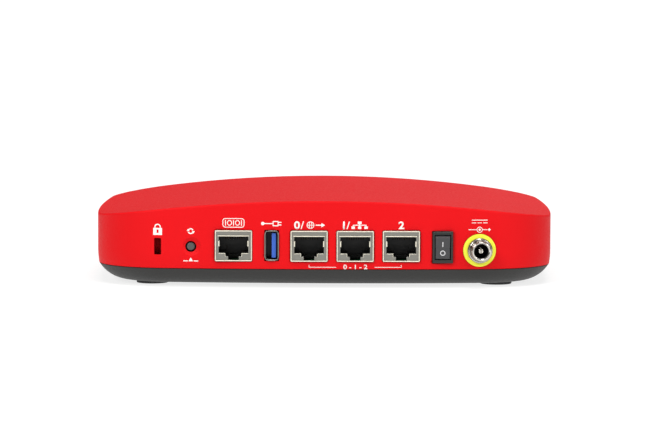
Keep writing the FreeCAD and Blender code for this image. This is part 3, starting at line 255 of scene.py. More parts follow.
def mouldedPlastic(name, look):
    # An injection moulding: the spark-eroded mould leaves a fine even grain, the flow leaves
    # faint clouds in colour and gloss, and the edges are a little soft.
    material, shader, place = startMaterial(
        name, {"IOR": look.get("ior", 1.53), "Specular IOR Level": look.get("shine", 0.4)}
    )
    tree = material.node_tree
    cloud = addNode(
        material,
        "ShaderNodeTexNoise",
        {"Scale": perMetre(look["cloudMm"]), "Detail": 3.0},
        {"Vector": place},
    )
    colour = mixedColour(material, cloud.outputs["Fac"], look["colour"], look["otherColour"])
    # painted shade in holes and dishes, for the looks that ask for it
    if "hollowShadeMm" in look:
        colour = paintedHollowShade(material, colour, look["hollowShadeMm"])
    tree.links.new(colour, shader.inputs["Base Color"])
    grain = addNode(
        material,
        "ShaderNodeTexNoise",
        {"Scale": perMetre(look["grainMm"]), "Detail": 2.0, "Roughness": 0.6},
        {"Vector": place},
    )
    strength = look.get("strength", 0.6)
    glossAndBump(material, shader, grain.outputs["Fac"], look, look["roughnessSpread"], strength)
    return material


def platedMetal(name, look):
    # Metal with a bright plate: the rolled or turned surface under it leaves fine lines along
    # one direction, and the plate varies a little in tone.
    material, shader, place = startMaterial(name, {"Metallic": look.get("metallic", 1.0)})
    tree = material.node_tree
    stretch = addNode(
        material,
        "ShaderNodeMapping",
        {"Scale": [perMetre(size) for size in look["lineMm"]]},
        {"Vector": place},
    )
    lines = addNode(
        material,
        "ShaderNodeTexNoise",
        {"Scale": 1.0, "Detail": 2.0},
        {"Vector": stretch.outputs["Vector"]},
    )
    tree.links.new(
        mixedColour(material, lines.outputs["Fac"], look["colour"], look["otherColour"]),
        shader.inputs["Base Color"],
    )
    glossAndBump(material, shader, lines.outputs["Fac"], look, spread=0.06, strength=0.4)
    return material


board = {
    "mask": "#0B4A2B",
    "otherMask": "#0D5230",
    "track": "#1C7A4B",
    "trackMm": 8,
    "reliefMm": 0.03,
}


def circuitBoard():
    # Solder mask over copper: a dark green gloss with paler lines where tracks run under it.
    material, shader, place = startMaterial("solder mask on FR4", {"IOR": 1.5, "Roughness": 0.32})
    tree = material.node_tree
    turned = addNode(
        material,
        "ShaderNodeMapping",
        {"Rotation": (0, 0, math.radians(45))},
        {"Vector": place},
    )
    tracks = addNode(
        material,
        "ShaderNodeTexBrick",
        {
            "Scale": perMetre(board["trackMm"]),
            "Mortar Size": 0.03,
            "Color1": hexToLinear(board["mask"]),
            "Color2": hexToLinear(board["otherMask"]),
            "Mortar": hexToLinear(board["track"]),
        },
        {"Vector": turned.outputs["Vector"]},
    )
    tree.links.new(tracks.outputs["Color"], shader.inputs["Base Color"])
    bump = addNode(
        material,
        "ShaderNodeBump",
        {"Strength": 0.5, "Distance": board["reliefMm"] * mm},
        {"Height": tracks.outputs["Fac"]},
    )
    tree.links.new(bump.outputs["Normal"], shader.inputs["Normal"])
    return material


def clearPipe():
    # Polycarbonate with a frosted end: it glows softly and hides the diode behind it.
    material, shader, place = startMaterial(
        "frosted polycarbonate",
        {"Base Color": hexToLinear("#E6ECEF"), "Transmission Weight": 0.55, "IOR": 1.585},
    )
    frost = addNode(
        material,
        "ShaderNodeTexNoise",
        {"Scale": perMetre(0.15), "Detail": 2.0},
        {"Vector": place},
    )
    gloss = addNode(
        material,
        "ShaderNodeMapRange",
        {"To Min": 0.3, "To Max": 0.5},
        {"Value": frost.outputs["Fac"]},
    )
    material.node_tree.links.new(gloss.outputs["Result"], shader.inputs["Roughness"])
    return material


# painted light and shade on the USB blade inside its steel shell
tongue = {
    "lit": "#3763C4",  # painted light: the blade near the mouth
    "deep": "#0B0F2E",  # painted shade on the block the blade grows from, deep in the shell
    "litMm": 5.5,  # how far in from the blade's edge the light reaches
    "fadeMm": 3.0,
    "shadedMm": 0.7,  # strip beside the shell that stays in its shade
    "edgeMm": 0.15,  # over which that strip begins
}


def tongueWithPaintedShade():
    # Blue moulded PBT with painted light and shade: bright along the blade, painted near black
    # where it sits deep in the steel shell.
    material = mouldedPlastic("blue moulded PBT blade", plastics["tongue_blue"][1])
    shader = material.node_tree.nodes["Principled BSDF"]
    place = addNode(material, "ShaderNodeTexCoord").outputs["Object"]
    parts = addNode(material, "ShaderNodeSeparateXYZ", {}, {"Vector": place})
    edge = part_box("usb_tongue")[0].y + tongue["litMm"] * mm
    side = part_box("usb_tongue")[1].x - tongue["shadedMm"] * mm
    fade = addNode(
        material,
        "ShaderNodeMapRange",
        {"From Min": edge, "From Max": edge + tongue["fadeMm"] * mm},
        {"Value": parts.outputs["Y"]},
    )
    strip = addNode(
        material,
        "ShaderNodeMapRange",
        {"From Min": side, "From Max": side + tongue["edgeMm"] * mm},
        {"Value": parts.outputs["X"]},
    )
    # the painted shade: the darker of the depth fade and the strip beside the shell
    darkest = addNode(
        material,
        "ShaderNodeMath",
        {"operation": "MAXIMUM"},
        {0: fade.outputs["Result"], 1: strip.outputs["Result"]},
    )
    colour = mixedColour(material, darkest.outputs["Value"], tongue["lit"], tongue["deep"])
    material.node_tree.links.new(colour, shader.inputs["Base Color"])
    return material


plastics = {
    # the red cover's hollowShadeMm paints shade into its holes and dishes
    "cover_red": ("red moulded ABS", dict(
        colour="#D90E14", otherColour="#DE1219", cloudMm=45, grainMm=0.9, depthMm=0.12,
        roughness=0.5, roughnessSpread=0.08, edgeMm=0.35, shine=0.08, hollowShadeMm=4.0)),
    "tray_grey": ("dark grey moulded ABS", dict(
        colour="#333332", otherColour="#373736", cloudMm=40, grainMm=0.9, depthMm=0.1,
        roughness=0.52, roughnessSpread=0.06, edgeMm=0.25, shine=0.2)),
    "foot_rubber": ("silicone rubber", dict(
        colour="#383838", otherColour="#3E3E3E", cloudMm=6, grainMm=0.4, depthMm=0.03,
        roughness=0.7, roughnessSpread=0.05, edgeMm=0.2, ior=1.43)),
    "insert_black": ("glass-filled nylon", dict(
        colour="#1B1B1B", otherColour="#212120", cloudMm=3, grainMm=0.25, depthMm=0.02,
        roughness=0.42, roughnessSpread=0.1, edgeMm=0.06)),
    "tongue_blue": ("blue moulded PBT", dict(
        colour="#2F62DC", otherColour="#386BE2", cloudMm=3, grainMm=0.25, depthMm=0.015,
        roughness=0.38, roughnessSpread=0.06, edgeMm=0.08)),
    "switch_black": ("black moulded nylon", dict(
        colour="#232523", otherColour="#292B29", cloudMm=4, grainMm=0.3, depthMm=0.02,
        roughness=0.34, roughnessSpread=0.06, edgeMm=0.1)),
    "rocker_grey": ("matt moulded nylon", dict(
        colour="#3C3C3E", otherColour="#414143", cloudMm=4, grainMm=0.3, depthMm=0.03,
        roughness=0.4, roughnessSpread=0.06, edgeMm=0.12)),
    "marker_yellow": ("yellow polycarbonate film", dict(
        colour="#F4F43A", otherColour="#F7F746", cloudMm=5, grainMm=0.4, depthMm=0.01,
        roughness=0.35, roughnessSpread=0.05, edgeMm=0.08)),
    "button_grey": ("grey moulded acetal", dict(
        colour="#4A4A49", otherColour="#525251", cloudMm=2, grainMm=0.2, depthMm=0.02,
        roughness=0.36, roughnessSpread=0.06, edgeMm=0.12)),
    "chip_black": ("moulded epoxy", dict(
        colour="#191919", otherColour="#1F1F1F", cloudMm=4, grainMm=0.2, depthMm=0.02,
        roughness=0.55, roughnessSpread=0.06, edgeMm=0.08)),
    "pad_grey": ("silicone gap pad", dict(
        colour="#7E8790", otherColour="#868F98", cloudMm=5, grainMm=0.4, depthMm=0.03,
        roughness=0.7, roughnessSpread=0.05, edgeMm=0.1, ior=1.43)),
    "ferrite_grey": ("shielded ferrite", dict(
        colour="#2B2C2F", otherColour="#35363A", cloudMm=2, grainMm=0.3, depthMm=0.03,
        roughness=0.5, roughnessSpread=0.08, edgeMm=0.15)),
    "led_white": ("white diode package", dict(
        colour="#DAD8CC", otherColour="#E2E0D5", cloudMm=1, grainMm=0.2, depthMm=0.01,
        roughness=0.4, roughnessSpread=0.05, edgeMm=0.05)),
    "lead_red": ("red PVC sheath", dict(
        colour="#A81518", otherColour="#B2191C", cloudMm=4, grainMm=0.3, depthMm=0.01,
        roughness=0.35, roughnessSpread=0.05, edgeMm=0.05)),
    "lead_black": ("black PVC sheath", dict(
        colour="#161616", otherColour="#1C1C1C", cloudMm=4, grainMm=0.3, depthMm=0.01,
        roughness=0.35, roughnessSpread=0.05, edgeMm=0.05)),
    "header_white": ("natural nylon", dict(
        colour="#DCD8C8", otherColour="#E4E0D2", cloudMm=3, grainMm=0.3, depthMm=0.02,
        roughness=0.42, roughnessSpread=0.06, edgeMm=0.1)),
}

metals = {
    "plated_sheet": ("nickel-plated sheet steel", dict(
        colour="#92918A", otherColour="#A4A299", lineMm=(4, 4, 0.25), depthMm=0.02,
        roughness=0.34, edgeMm=0.22)),
    "nickel_turned": ("nickel-plated turned brass", dict(
        colour="#CFCAC2", otherColour="#DCD8D0", lineMm=(5, 0.12, 5), depthMm=0.006,
        roughness=0.13, edgeMm=0.1)),
    # painted shade: the barrel's nickel plate given a darker colour, standing in for the dark
    # reflections on the nut and its collar
    "nut_nickel": ("nickel-plated brass darkened for painted shade", dict(
        colour="#8B8782", otherColour="#A39F99", lineMm=(4, 0.3, 4), depthMm=0.006,
        roughness=0.2, edgeMm=0.12)),
    "contact_shaded": ("phosphor bronze in the shell's shade", dict(
        colour="#4A4238", otherColour="#5A5044", lineMm=(1, 3, 1), depthMm=0.004,
        roughness=0.35, edgeMm=0.04)),
    "screw_steel": ("black zinc-plated steel", dict(
        colour="#3A3A3C", otherColour="#4A4A4D", lineMm=(2, 2, 0.3), depthMm=0.01,
        roughness=0.35, edgeMm=0.1)),
    "contact_gold": ("gold-plated phosphor bronze", dict(
        colour="#D8A548", otherColour="#E2B35A", lineMm=(1, 3, 1), depthMm=0.004,
        roughness=0.22, edgeMm=0.04)),
    "sink_black": ("black anodised aluminium", dict(
        colour="#26272A", otherColour="#303236", lineMm=(0.4, 30, 0.4), depthMm=0.02,
        roughness=0.42, edgeMm=0.1)),
    "can_silver": ("drawn aluminium", dict(
        colour="#C4C5C7", otherColour="#D0D1D3", lineMm=(3, 3, 0.4), depthMm=0.01,
        roughness=0.3, edgeMm=0.1)),
}

finishes = {slot: mouldedPlastic(name, look) for slot, (name, look) in plastics.items()}
finishes.update({slot: platedMetal(name, look) for slot, (name, look) in metals.items()})
finishes["board_green"] = circuitBoard()
finishes["pipe_clear"] = clearPipe()

for node in nodes.values():
    for holder in node.material_slots:
        holder.material = finishes[holder.material.name]
# nodes with their own materials: painted shade on the USB blade and its contacts, and the nut's
# darkened nickel
for name, special in (
    ("usb_tongue", tongueWithPaintedShade()),
    ("usb_contacts", finishes["contact_shaded"]),
    ("inlet_nut", finishes["nut_nickel"]),
):
    nodes[name].material_slots[0].material = special
print("materials set:", len(finishes))

rim = {
    "height": 13.5,  # of the shield's front
    "wall": 0.46,
    "proud": 0.32,  # in front of the shield's flat face
    "corner": 0.5,
    "lipWidth": 0.4,  # rolled edge round the mouth
    "lipProud": 0.16,
    "mouthHalf": 6.5,
    "mouthTop": 10.9,
    "mouthShelf": 3.5,
    "latchHalf": 3.5,
    "latchShelf": 2.05,
    "fingerWide": 0.5,  # earthing finger at each side of the mouth
    "fingerTall": 2.4,
    "fingerMiddle": 7.7,
    "fingerBow": 0.35,
    # how far along the leaf each bend reaches, and its share of the bow
    "fingerBends": ((0.9, 0.4), (0.5, 0.35), (0.2, 0.25)),
    "fingerEdge": 0.05,
    "frontRounding": 0.38,  # shares of the height that the edges are rounded over
    "lipRounding": 0.45,
}

# painted highlight: the shield's own sheet steel, given a far brighter colour than its face so that
# its edges shine
rimPaintedHighlight = platedMetal("nickel edge painted bright as a highlight", dict(
    colour="#EFE9D2", otherColour="#FAF5E4", lineMm=(0.4, 0.4, 3), depthMm=0.004,
    roughness=0.42, edgeMm=0.12, metallic=0.6))


def faceRear(piece):
    # a primitive lies level when it is added: this stands it up so that it looks towards -Y
    piece.rotation_euler = (math.radians(90), 0, 0)
    bpy.ops.object.transform_apply(location=False, rotation=True, scale=True)


def standUp(piece, x, y, z):
    faceRear(piece)
    piece.location = (x, y, z)
    bpy.ops.object.transform_apply(location=True, rotation=False, scale=False)


def thicken(piece, thick, edge):
    # gives a sheet its thickness and rounded edges, with its faces outwards
    for kind, settings in (
        ("SOLIDIFY", {"thickness": thick, "offset": 1}),
        ("BEVEL", {"width": edge, "segments": 2, "limit_method": "ANGLE"}),
    ):
        modifier = piece.modifiers.new(kind.lower(), kind)
        for key, value in settings.items():
            setattr(modifier, key, value)
        bpy.ops.object.modifier_apply(modifier=modifier.name)
    bpy.ops.object.mode_set(mode="EDIT")
    bpy.ops.mesh.select_all(action="SELECT")
    bpy.ops.mesh.remove_doubles(threshold=weld)
    bpy.ops.mesh.normals_make_consistent(inside=False)
    bpy.ops.object.mode_set(mode="OBJECT")
    bpy.ops.object.shade_smooth_by_angle(angle=math.radians(35))


def roundedSheet(width, height, corner, segments, border=None):
    # a level rounded rectangle, or with a border only its outline
    bpy.ops.object.select_all(action="DESELECT")
    bpy.ops.mesh.primitive_plane_add(size=1)
    sheet = bpy.context.object
    sheet.scale = (width, height, 1)
    bpy.ops.object.transform_apply(location=False, rotation=False, scale=True)
    bpy.ops.object.mode_set(mode="EDIT")
    bpy.ops.mesh.select_all(action="SELECT")
    bpy.ops.mesh.bevel(affect="VERTICES", offset=corner, segments=segments)
    if border:
        bpy.ops.mesh.select_all(action="SELECT")
        bpy.ops.mesh.inset(thickness=border)
        bpy.ops.mesh.delete(type="FACE")
    bpy.ops.object.mode_set(mode="OBJECT")
    return sheet


def formedFrame(name, width, height, place):
    piece = roundedSheet(width, height, rim["corner"] * mm, 4, rim["wall"] * mm)
    piece.name = name
    standUp(piece, *place)
    proud = rim["proud"] * mm
    thicken(piece, proud, proud * rim["frontRounding"])
    return piece


def lipBar(name, x0, x1, z0, z1, y):
    # one straight of the rolled lip round a mouth
    bpy.ops.object.select_all(action="DESELECT")
    bpy.ops.mesh.primitive_grid_add(x_subdivisions=4, y_subdivisions=1, size=1)
    piece = bpy.context.object
    piece.name = name
    piece.scale = (x1 - x0, z1 - z0, 1)
    bpy.ops.object.transform_apply(location=False, rotation=False, scale=True)
    standUp(piece, (x0 + x1) / 2, y, (z0 + z1) / 2)
    proud = rim["lipProud"] * mm
    thicken(piece, proud, proud * rim["lipRounding"])
    return piece


def joinAs(name, pieces, material):
    bpy.ops.object.select_all(action="DESELECT")
    for piece in pieces:
        piece.select_set(True)
    bpy.context.view_layer.objects.active = pieces[0]
    bpy.ops.object.join()
    whole = bpy.context.object
    whole.name = name
    whole.data.materials.clear()
    whole.data.materials.append(material)
    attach(whole, "case")
    return whole


def earthingFinger(name, x, y, z, side):
    # a narrow leaf, bowed towards the plug between its two ends
    bpy.ops.object.select_all(action="DESELECT")
    bpy.ops.mesh.primitive_grid_add(x_subdivisions=1, y_subdivisions=6, size=1)
    leaf = bpy.context.object
    leaf.name = name
    leaf.scale = (rim["fingerWide"] * mm, rim["fingerTall"] * mm, 1)
    bpy.ops.object.transform_apply(location=False, rotation=False, scale=True)
    for reach, push in rim["fingerBends"]:
        for vertex in leaf.data.vertices:
            vertex.select = abs(vertex.co.y) < reach * rim["fingerTall"] * mm / 2
        bpy.ops.object.mode_set(mode="EDIT")
        bpy.ops.mesh.select_mode(type="VERT")
        bpy.ops.transform.translate(value=(-side * push * rim["fingerBow"] * mm, 0, 0))
        bpy.ops.object.mode_set(mode="OBJECT")
    standUp(leaf, x, y, z)
    thicken(leaf, rim["lipProud"] * mm, rim["fingerEdge"] * mm)
    return leaf


def socketRim(name, shield):
    low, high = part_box(shield)
    x = (low.x + high.x) / 2
    height = rim["height"] * mm
    foot = high.z - height
    face = low.y
    pieces = [formedFrame(name, high.x - low.x, height, (x, face, foot + height / 2))]
    lip = rim["lipWidth"] * mm
    half = rim["mouthHalf"] * mm
    latch = rim["latchHalf"] * mm
    top = foot + rim["mouthTop"] * mm
    shelf = foot + rim["mouthShelf"] * mm
    step = foot + rim["latchShelf"] * mm
    straights = [
        (-half - lip, half + lip, top, top + lip),
        (-half, -latch, shelf - lip / 2, shelf),
        (latch, half, shelf - lip / 2, shelf),
        (-latch - lip / 2, -latch, step, shelf),
        (latch, latch + lip / 2, step, shelf),
    ]
    for x0, x1, z0, z1 in straights:
        pieces.append(lipBar(name, x + x0, x + x1, z0, z1, face))
    finger = foot + rim["fingerMiddle"] * mm
    for side in (-1, 1):
        place = x + side * (half + rim["fingerWide"] * mm / 2)
        pieces.append(earthingFinger(name, place, face, finger, side))
    return joinAs(name, pieces, rimPaintedHighlight)


socketRim("consoleSocketRim", "console_port_shield")
for n in range(3):
    socketRim(f"networkSocketRim{n}", f"port_{n}_shield")
print("socket rims formed")


collar = {
    # turned ridges on the power inlet's collar, and the bead on its nut's face
    "radius": 4.2,
    "ridge": 0.13,
    "pitch": 0.7,
    "first": 0.75,  # from the collar's front edge
    "count": 5,
    "flat": 0.8,  # a ridge's height as a share of its width
    "nutBead": 0.22,
    "nutBeadRadius": 4.98,
    "nutRadius": 5.5,
}


def turnedRing(name, radius, thick, place, turn):
    bpy.ops.object.select_all(action="DESELECT")
    bpy.ops.mesh.primitive_torus_add(
        major_radius=radius, minor_radius=thick, major_segments=72, minor_segments=12
    )
    ring = bpy.context.object
    ring.name = name
    ring.scale = (1, 1, collar["flat"])
    ring.rotation_euler = (math.radians(90), 0, turn)
    ring.location = place
    bpy.ops.object.transform_apply(location=True, rotation=True, scale=True)
    bpy.ops.object.shade_smooth_by_angle(angle=math.radians(60))
    return ring


def collarRidges():
    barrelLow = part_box("inlet_barrel")[0]
    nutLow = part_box("inlet_nut")[0]
    mount = [m for m in frame["record"]["mounts"] if m["name"] == "power_plug_collar"][0]
    axis, seat = Vector(mount["axis"]), Vector(mount["pos_m"])
    turn = math.atan2(axis.x, -axis.y)
    flat = Vector((axis.x, axis.y, 0)).normalized()
    reach = (seat.y - barrelLow.y) / -flat.y - collar["radius"] * mm * abs(flat.x)
    tip = seat + flat * reach
    rings = []
    for n in range(collar["count"]):
        place = tip - flat * (collar["first"] + n * collar["pitch"]) * mm
        radius, thick = collar["radius"] * mm, collar["ridge"] * mm
        rings.append(turnedRing("collarRidge", radius, thick, place, turn))
    # the collar ridges take the nut's darkened nickel, painted shade
    joinAs("inletCollarRidges", rings, finishes["nut_nickel"])
    nutFace = (seat.y - nutLow.y) / -flat.y - collar["nutRadius"] * mm * abs(flat.x)
    radius, thick = collar["nutBeadRadius"] * mm, collar["nutBead"] * mm
    bead = turnedRing("nutBead", radius, thick, seat + flat * nutFace, turn)
    joinAs("inletNutBead", [bead], finishes["nickel_turned"])


collarRidges()
print("inlet rings turned")


label = {
    # blank rating label on the underside
    "width": 62.0,
    "depth": 34.0,
    "corner": 2.0,
    "thickness": 0.12,
    "border": 1.2,
    "rule": 0.5,
    "ruleThickness": 0.02,
    "sunk": 0.02,  # into the tray, so that it sticks
    "edge": 0.01,
}

labelFilm = mouldedPlastic("silver polyester film", dict(
    colour="#B9BBBC", otherColour="#C1C3C4", cloudMm=8, grainMm=0.3, depthMm=0.004,
    roughness=0.35, roughnessSpread=0.05, edgeMm=0.05, shine=0.5))


def labelLayer(name, inset, border, drop, thickness, material):
    low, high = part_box("base_tray")
    middle = (low + high) / 2
    width, depth = (label[side] - 2 * inset for side in ("width", "depth"))
    piece = roundedSheet(width * mm, depth * mm, label["corner"] * mm, 5, border)
    bpy.ops.object.mode_set(mode="EDIT")
    bpy.ops.mesh.select_all(action="SELECT")
    bpy.ops.mesh.flip_normals()
    bpy.ops.object.mode_set(mode="OBJECT")
    piece.location = (middle.x, middle.y, low.z + (label["sunk"] - drop) * mm)
    bpy.ops.object.transform_apply(location=True, rotation=False, scale=False)
    thicken(piece, thickness * mm, label["edge"] * mm)
    joinAs(name, [piece], material)


# printed legends: generic signs only, in white ink on the bowed connector face
ink = {
    "lift": 0.02,  # clear of the cover, in millimetres
    "thickness": 0.02,
    "start": 10,  # in front of the cover, from where a sign is laid on it
    "textShare": 0.7,  # a digit's height as a share of its type size
    "textWide": 1.14,
}

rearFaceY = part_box("top_cover")[0].y
inkMade = []


def placeOf(name):
    # the middle of a node across and above the ground, in millimetres
    low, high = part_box(name)
    middle = (low + high) / 2
    return middle.x / mm, middle.z / mm


def hangInFront(piece, x, z):
    # stood up in front of the face, and kept for the legend that is being drawn
    faceRear(piece)
    piece.location = (x * mm, rearFaceY - ink["start"] * mm, z * mm)
    inkMade.append(piece)


def inkBar(x, z, width, height, lean=0.0, pieces=1):
    bpy.ops.object.select_all(action="DESELECT")
    bpy.ops.mesh.primitive_grid_add(x_subdivisions=pieces, y_subdivisions=1, size=1)
    bar = bpy.context.object
    bar.scale = (width * mm, height * mm, 1)
    bpy.ops.object.transform_apply(location=False, rotation=False, scale=True)
    bar.rotation_euler = (0, 0, math.radians(lean))
    bpy.ops.object.transform_apply(location=False, rotation=True, scale=False)
    hangInFront(bar, x, z)


def inkDisc(x, z, radius):
    bpy.ops.object.select_all(action="DESELECT")
    bpy.ops.mesh.primitive_circle_add(vertices=24, radius=radius * mm, fill_type="NGON")
    hangInFront(bpy.context.object, x, z)


def inkRing(x, z, radius, stroke, wide=1.0, start=0, sweep=360):
    # an arc or a whole ring: a filled circle is inset, its middle goes, and a gap is cut
    bpy.ops.object.select_all(action="DESELECT")
    bpy.ops.mesh.primitive_circle_add(vertices=32, radius=radius * mm, fill_type="NGON")
    ring = bpy.context.object
    ring.scale = (wide, 1, 1)
    bpy.ops.object.transform_apply(location=False, rotation=False, scale=True)
    bpy.ops.object.mode_set(mode="EDIT")
    bpy.ops.mesh.select_all(action="SELECT")
    bpy.ops.mesh.inset(thickness=stroke * mm)
    bpy.ops.mesh.delete(type="FACE")
    bpy.ops.object.mode_set(mode="OBJECT")
    if sweep < 360:
        for face in ring.data.polygons:
            turn = math.degrees(math.atan2(face.center.y, face.center.x)) - start
            face.select = turn % 360 > sweep
        bpy.ops.object.mode_set(mode="EDIT")
        bpy.ops.mesh.select_mode(type="FACE")
        bpy.ops.mesh.delete(type="FACE")
        bpy.ops.object.mode_set(mode="OBJECT")
    hangInFront(ring, x, z)


def inkFrame(x, z, width, height, stroke, corner):
    outline = roundedSheet(width * mm, height * mm, corner * mm, 4, stroke * mm)
    hangInFront(outline, x, z)


def inkTriangle(x, z, size, lean):
    bpy.ops.object.select_all(action="DESELECT")
    bpy.ops.mesh.primitive_circle_add(vertices=3, radius=size * mm, fill_type="NGON")
    triangle = bpy.context.object
    triangle.rotation_euler = (0, 0, math.radians(lean))
    bpy.ops.object.transform_apply(location=False, rotation=True, scale=False)
    hangInFront(triangle, x, z)


def inkDigits(x, z, digits, height, weight):
    bpy.ops.object.select_all(action="DESELECT")
    bpy.ops.object.text_add()
    text = bpy.context.object
    text.data.body = digits
    text.data.size = height * mm / ink["textShare"]
    text.data.align_x = "CENTER"
    text.data.offset = weight * mm
    text.data.resolution_u = 4
    text.scale = (ink["textWide"], 1, 1)
    bpy.ops.object.convert(target="MESH")
    hangInFront(bpy.context.object, x, z - height / 2)


def printLegend(name, material, target="top_cover", body="case"):
    # lays what has been drawn since the last legend on the surface behind it, as one ink film
    bpy.ops.object.select_all(action="DESELECT")
    for piece in inkMade:
        piece.select_set(True)
    bpy.context.view_layer.objects.active = inkMade[0]
    if len(inkMade) > 1:
        bpy.ops.object.join()
    inkMade.clear()
    film = bpy.context.object
    film.name = name
    bpy.ops.object.transform_apply(location=True, rotation=True, scale=True)
    wrap = film.modifiers.new("ontoTheFace", "SHRINKWRAP")
    wrap.target = nodes[target]
    wrap.wrap_method = "PROJECT"
    wrap.use_project_y = True
    wrap.use_positive_direction = True
    wrap.use_negative_direction = False
    wrap.offset = ink["lift"] * mm
    bpy.ops.object.modifier_apply(modifier=wrap.name)
    film.data.materials.clear()
    film.data.materials.append(material)
    thick = film.modifiers.new("inkFilm", "SOLIDIFY")
    thick.thickness = ink["thickness"] * mm
    thick.offset = 1
    bpy.ops.object.modifier_apply(modifier=thick.name)
    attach(film, body)


whiteInk = mouldedPlastic("white screen ink", dict(
    colour="#F0EAE4", otherColour="#F8F2EC", cloudMm=2, grainMm=0.3, depthMm=0.004,
    roughness=0.45, roughnessSpread=0.05, edgeMm=0.02, shine=0.3))
greyInk = mouldedPlastic("grey pad-printed ink", dict(
    colour="#CFCFD0", otherColour="#D8D8D9", cloudMm=2, grainMm=0.3, depthMm=0.004,
    roughness=0.5, roughnessSpread=0.05, edgeMm=0.02, shine=0.3))

portX = [placeOf(f"port_{n}_shield")[0] for n in range(3)]
consoleX = placeOf("console_port_shield")[0]
usbX = placeOf("usb_shell")[0]
inletX = placeOf("inlet_marker_ring")[0]
resetX = placeOf("reset_button")[0]
switchX, switchZ = placeOf("switch_housing")

# In every legend's values, across is from the middle of its connector, rise is above the
# ground and up is from the rise. A sign's numbers are its widths, heights and radii.
port = {
    "rise": 27.9,
    "digit": (3.2, 0.13),
    "slash": (0.42, 3.5, -18),
    "globe": {"across": 0.6, "radius": 1.65, "line": 0.3, "meridian": 1.6, "thin": 0.26},
    "equator": 2.9,
    "shaft": (4.1, 2.5, 0.45),
    "head": (5.9, 1.1),
}


def digitAndSlash(x, digits, across, slashAcross):
    inkDigits(x + across, port["rise"], digits, *port["digit"])
    inkBar(x + slashAcross, port["rise"], *port["slash"])


def legendGlobe(x):
    # the digit, a stroke, and a globe with an arrow that leaves it
    digitAndSlash(x, "0", -5.3, -3.0)
    globe, rise = port["globe"], port["rise"]
    middle = x + globe["across"]
    inkRing(middle, rise, globe["radius"], globe["line"])
    inkRing(middle, rise, globe["meridian"], globe["thin"], wide=0.45)
    inkBar(middle, rise, port["equator"], globe["thin"])
    across, long, thick = port["shaft"]
    inkBar(x + across, rise, long, thick)
    across, size = port["head"]
    inkTriangle(x + across, rise, size, -90)


boxes = {
    "across": 1.9,
    "top": (1.7, 1.1),
    "topUp": 1.1,
    "low": (1.5, 1.1),
    "lowUp": -1.05,
    "apart": 2.8,
    "link": (0.35, 0.6),
    "linkUp": 0.3,
    "lowLinkUp": -0.3,
    "bus": (5.9, 0.35),
    "busUp": 0.05,
}


def legendLinkedBoxes(x):
    # the digit, a stroke, and one box linked to three under it
    digitAndSlash(x, "1", -5.0, -3.1)
    middle, rise = x + boxes["across"], port["rise"]
    inkBar(middle, rise + boxes["topUp"], *boxes["top"])
    inkBar(middle, rise + boxes["linkUp"], *boxes["link"])
    inkBar(middle, rise + boxes["busUp"], *boxes["bus"])
    for side in (-1, 0, 1):
        across = middle + side * boxes["apart"]
        inkBar(across, rise + boxes["lowLinkUp"], *boxes["link"])
        inkBar(across, rise + boxes["lowUp"], *boxes["low"])


def legendTwo(x):
    inkDigits(x, port["rise"], "2", *port["digit"])


console = {
    "rise": 28.7,
    "frame": (9.6, 4.1, 0.32, 1.2),
    "signs": (0, 1, 0, 1, 0),  # bars and rings, for ones and noughts
    "pitch": 1.75,
    "bar": (0.38, 2.4),
    "ring": (1.2, 0.32),
    "ringWide": 0.9,
}


def legendOnesAndNoughts(x):
    inkFrame(x, console["rise"], *console["frame"])
    for n, isRing in enumerate(console["signs"]):
        across = x + (n - 2) * console["pitch"]
        if isRing:
            inkRing(across, console["rise"], *console["ring"], wide=console["ringWide"])
        else:
            inkBar(across, console["rise"], *console["bar"])


plug = {
    "rise": 28.5,
    "cord": (-1.6, 4.2, 0.42),
    "body": (1.7, 2.6, 2.3, 0.4, 0.3),
    "prong": (3.6, 1.2, 0.42),
    "prongUp": 0.55,
    "end": (-3.9, 0.75),
}


def legendPlug(x):
    # a plug on its cord
    rise = plug["rise"]
    across, long, thick = plug["cord"]
    inkBar(x + across, rise, long, thick)
    across, *shape = plug["body"]
    inkFrame(x + across, rise, *shape)
    across, long, thick = plug["prong"]
    for side in (1, -1):
        inkBar(x + across, rise + side * plug["prongUp"], long, thick)
    across, radius = plug["end"]
    inkDisc(x + across, rise, radius)


padlock = {
    "across": -14.6,  # from the reset button
    "rise": 24.6,
    "cheek": (1.5, 3.1),
    "cheekAcross": 1.2,
    "shank": (0.48, 0.6),
    "shankAcross": 1.16,
    "shankUp": 1.75,
    "overKeyhole": (1.0, 0.7),
    "overUp": 1.2,
    "underKeyhole": (1.0, 0.9),
    "underUp": -1.1,
    "bow": (1.4, 0.48),
    "bowUp": 2.0,
}


def legendPadlock(x):
    # four bars round a keyhole, and a bow over them
    middle, rise = x + padlock["across"], padlock["rise"]
    for side in (-1, 1):
        inkBar(middle + side * padlock["cheekAcross"], rise, *padlock["cheek"])
        inkBar(middle + side * padlock["shankAcross"], rise + padlock["shankUp"], *padlock["shank"])
    inkBar(middle, rise + padlock["overUp"], *padlock["overKeyhole"])
    inkBar(middle, rise + padlock["underUp"], *padlock["underKeyhole"])
    inkRing(middle, rise + padlock["bowUp"], *padlock["bow"], sweep=180)


arrows = {
    "rise": 24.9,
    "ring": (1.3, 0.5),
    "starts": (20, 200),
    "sweep": 130,
    "head": 0.72,
    "headAcross": 1.15,
    "headUp": -0.35,
}


def legendChasingArrows(x):
    for start in arrows["starts"]:
        inkRing(x, arrows["rise"], *arrows["ring"], start=start, sweep=arrows["sweep"])
    for side, lean in ((1, 180), (-1, 0)):
        across, up = side * arrows["headAcross"], side * arrows["headUp"]
        inkTriangle(x + across, arrows["rise"] + up, arrows["head"], lean)


pointer = {
    "rise": 12.2,
    "size": 1.15,
    "wing": (2.0, 0.42),
    "wingAcross": 2.3,
    "wingUp": -0.4,
}


